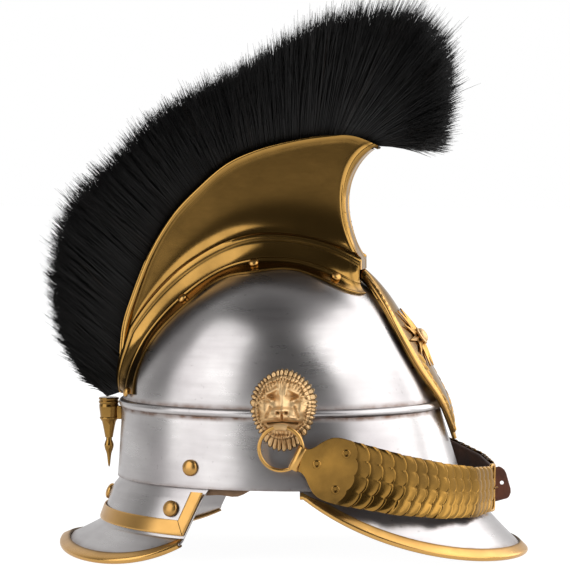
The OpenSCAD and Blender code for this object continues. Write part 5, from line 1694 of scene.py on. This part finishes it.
def tongue(number):
    centre = (number + 0.5) * 45
    round_end = 1 - 0.2 * (1 - np.sin(np.radians(np.linspace(8, 90, 14))))
    k = np.concatenate([np.linspace(0, 0.8, 14), round_end])[:, None]
    s = np.linspace(-1, 1, 17)[None, :]
    tip = np.sqrt(np.clip(1 - ((k - 0.8) / 0.2).clip(0, 1) ** 2, 0.01, 1))
    half = 18 * (1 - 0.35 * k) * tip
    z = lerp(LINER_HIGH - 8, TOP_Z - 34, k)
    seat = skull_at(centre + s * half, z + 0 * s)
    sunk = LINER_GAP + LINER + CLEAR + SAG / 2 + 6 * k * k
    ease = 0.55 * np.clip(np.abs(s) * 8 - 7, 0, 1) ** 2
    puff = 0.5 * (1 - s * s) * np.sin(np.pi * np.clip(k, 0, 1))
    outer = off_skull(seat, -(sunk + ease))
    inner = off_skull(seat, -(sunk + TONGUE - ease + 0.3 * puff))
    return joined_grids(outer, inner)


band = add_liner_band()
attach(band, "helmet")
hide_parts("liner_band")
points, faces = joined_parts([tongue(number) for number in range(8)])
lining_tongues = make_mesh("lining_tongues", points, faces, 60, "lining_leather")
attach(lining_tongues, "helmet")
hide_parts("liner_tongues")

stitch_profile = [(0.05, -1.3), (0.3, -1.15), (0.42, -0.7), (0.42, 0.7), (0.3, 1.15), (0.05, 1.3)]
stitch = turned_shape("stitch", stitch_profile, 8)
places = []
for height in (RIM_Z + 4.5, LINER_HIGH - 3.5):
    for turn in range(0, 360, 2):
        p = skull_at(np.array([float(turn)]), np.array([height]))
        n = skull_normal(p)[0]
        lies_along = unit(np.cross([0, 0, 1], n))
        places.append(frame_at(p[0] - n * (LINER_GAP + LINER + 0.1), lies_along))
# Waxed linen thread has the same dull, grained look as leather, only finer.
materials["lining_thread"] = leather("waxed_linen_thread", "#a08c6a", "#75603f", 0.5, 0.8)
stitches = set_shape("lining_stitches", stitch, places, "lining_thread")
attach(stitches, "helmet")
print("lining:", len(places), "stitches")

# %% [markdown]
# Two CAD nodes are right as they are, the trough under the hair and the studs behind the
# front plate. They keep their meshes and get the finish of the material slot that they belong to.

# %% Finishes of the CAD's own nodes
NODE_FINISH = {"steel": "steel", "hair": "hair", "strap_leather": "strap_leather",
               "lining_leather": "lining_leather", "bright_brass": "trim_brass",
               "old_brass": "cast_brass"}
for part in frame["record"]["subparts"]:
    node = frame["nodes"][part["node"]]
    finish = "crest_brass" if part["node"] == "crest_trough" else NODE_FINISH[part["material_slot"]]
    for slot_index in range(len(node.material_slots)):
        node.material_slots[slot_index].material = materials[finish]

# %% [markdown]
# The stage is a plain pale floor and soft studio light: two broad softboxes that give the steel its
# upright bright bands, a smaller one at the front and an even world. The camera sees the world and
# the floor as white. The metal mirrors that white backdrop too, and on the other side the dim room
# in which the photographer stands, which is what gives polished steel its dark bands.

# %% Stage


def add_floor():
    mesh = bpy.data.meshes.new("floor")
    half = 6.0
    mesh.from_pydata([(-half, -half, 0), (half, -half, 0), (half, half, 0), (-half, half, 0)], [],
                     [(0, 1, 2, 3)])
    floor = bpy.data.objects.new("floor", mesh)
    bpy.context.collection.objects.link(floor)
    material, tree = new_material("white_paper_sweep")
    paper = add_node(tree, "ShaderNodeBsdfDiffuse", Color="#f4f4f4")
    glow = add_node(tree, "ShaderNodeEmission", Color="#ffffff", Strength=1.28)
    path = add_node(tree, "ShaderNodeLightPath").node.outputs
    mirrored = add_node(tree, "ShaderNodeMath", TIMES, i0=path["Is Glossy Ray"], i1=0.6)
    seen = add_node(tree, "ShaderNodeMath", LARGER, i0=path["Is Camera Ray"], i1=mirrored)
    share = add_node(tree, "ShaderNodeMath", TIMES, i0=seen, i1=0.75)
    shader = add_node(tree, "ShaderNodeMixShader", i0=share, i1=paper, i2=glow)
    add_node(tree, "ShaderNodeOutputMaterial", Surface=shader)
    mesh.materials.append(material)
    return floor


def add_softbox(name, azimuth, elevation, far, width, height, watts):
    data = bpy.data.lights.new(name, "AREA")
    data.shape, data.size, data.size_y, data.energy = "RECTANGLE", width, height, watts
    lamp = bpy.data.objects.new(name, data)
    bpy.context.collection.objects.link(lamp)
    look_from(lamp, np.array([0, 0, 0.18]), azimuth, elevation, far)
    return lamp


def set_world():
    world = bpy.data.worlds.new("studio")
    bpy.context.scene.world = world
    world.use_nodes = True
    tree = world.node_tree
    tree.nodes.clear()
    path = add_node(tree, "ShaderNodeLightPath").node.outputs
    direction = add_node(tree, "ShaderNodeTexCoord", out="Generated")
    to_backdrop = add_node(tree, "ShaderNodeSeparateXYZ", out="Y", i0=direction)
    mirrored = add_node(tree, "ShaderNodeMapRange", {"interpolation_type": "SMOOTHSTEP"}, Value=to_backdrop,
                        From_Min=-0.35, From_Max=0.7, To_Min=DIM_ROOM, To_Max=BACKDROP)
    less = add_node(tree, "ShaderNodeMath", {"operation": "SUBTRACT"}, i0=mirrored, i1=FILL)
    glossy = add_node(tree, "ShaderNodeMath", TIMES_ADD, i0=path["Is Glossy Ray"], i1=less, i2=FILL)
    direct = add_node(tree, "ShaderNodeMath", LARGER, i0=path["Is Camera Ray"],
                      i1=path["Is Transmission Ray"])
    strength = add_node(tree, "ShaderNodeMath", LARGER, i0=glossy, i1=direct)
    white = add_node(tree, "ShaderNodeBackground", Color="#ffffff", Strength=strength)
    add_node(tree, "ShaderNodeOutputWorld", Surface=white)


DIM_ROOM, BACKDROP, FILL = 0.06, 0.8, 0.3
add_floor()
add_softbox("softbox_left", -48, 18, 1.8, 1.6, 2.2, 22)
add_softbox("softbox_right", 72, 24, 1.8, 1.9, 2.4, 32)
add_softbox("softbox_front", 124, 20, 2.0, 1.2, 2.0, 15)
set_world()
bpy.context.scene.view_settings.view_transform = "Standard"
print("stage ready")
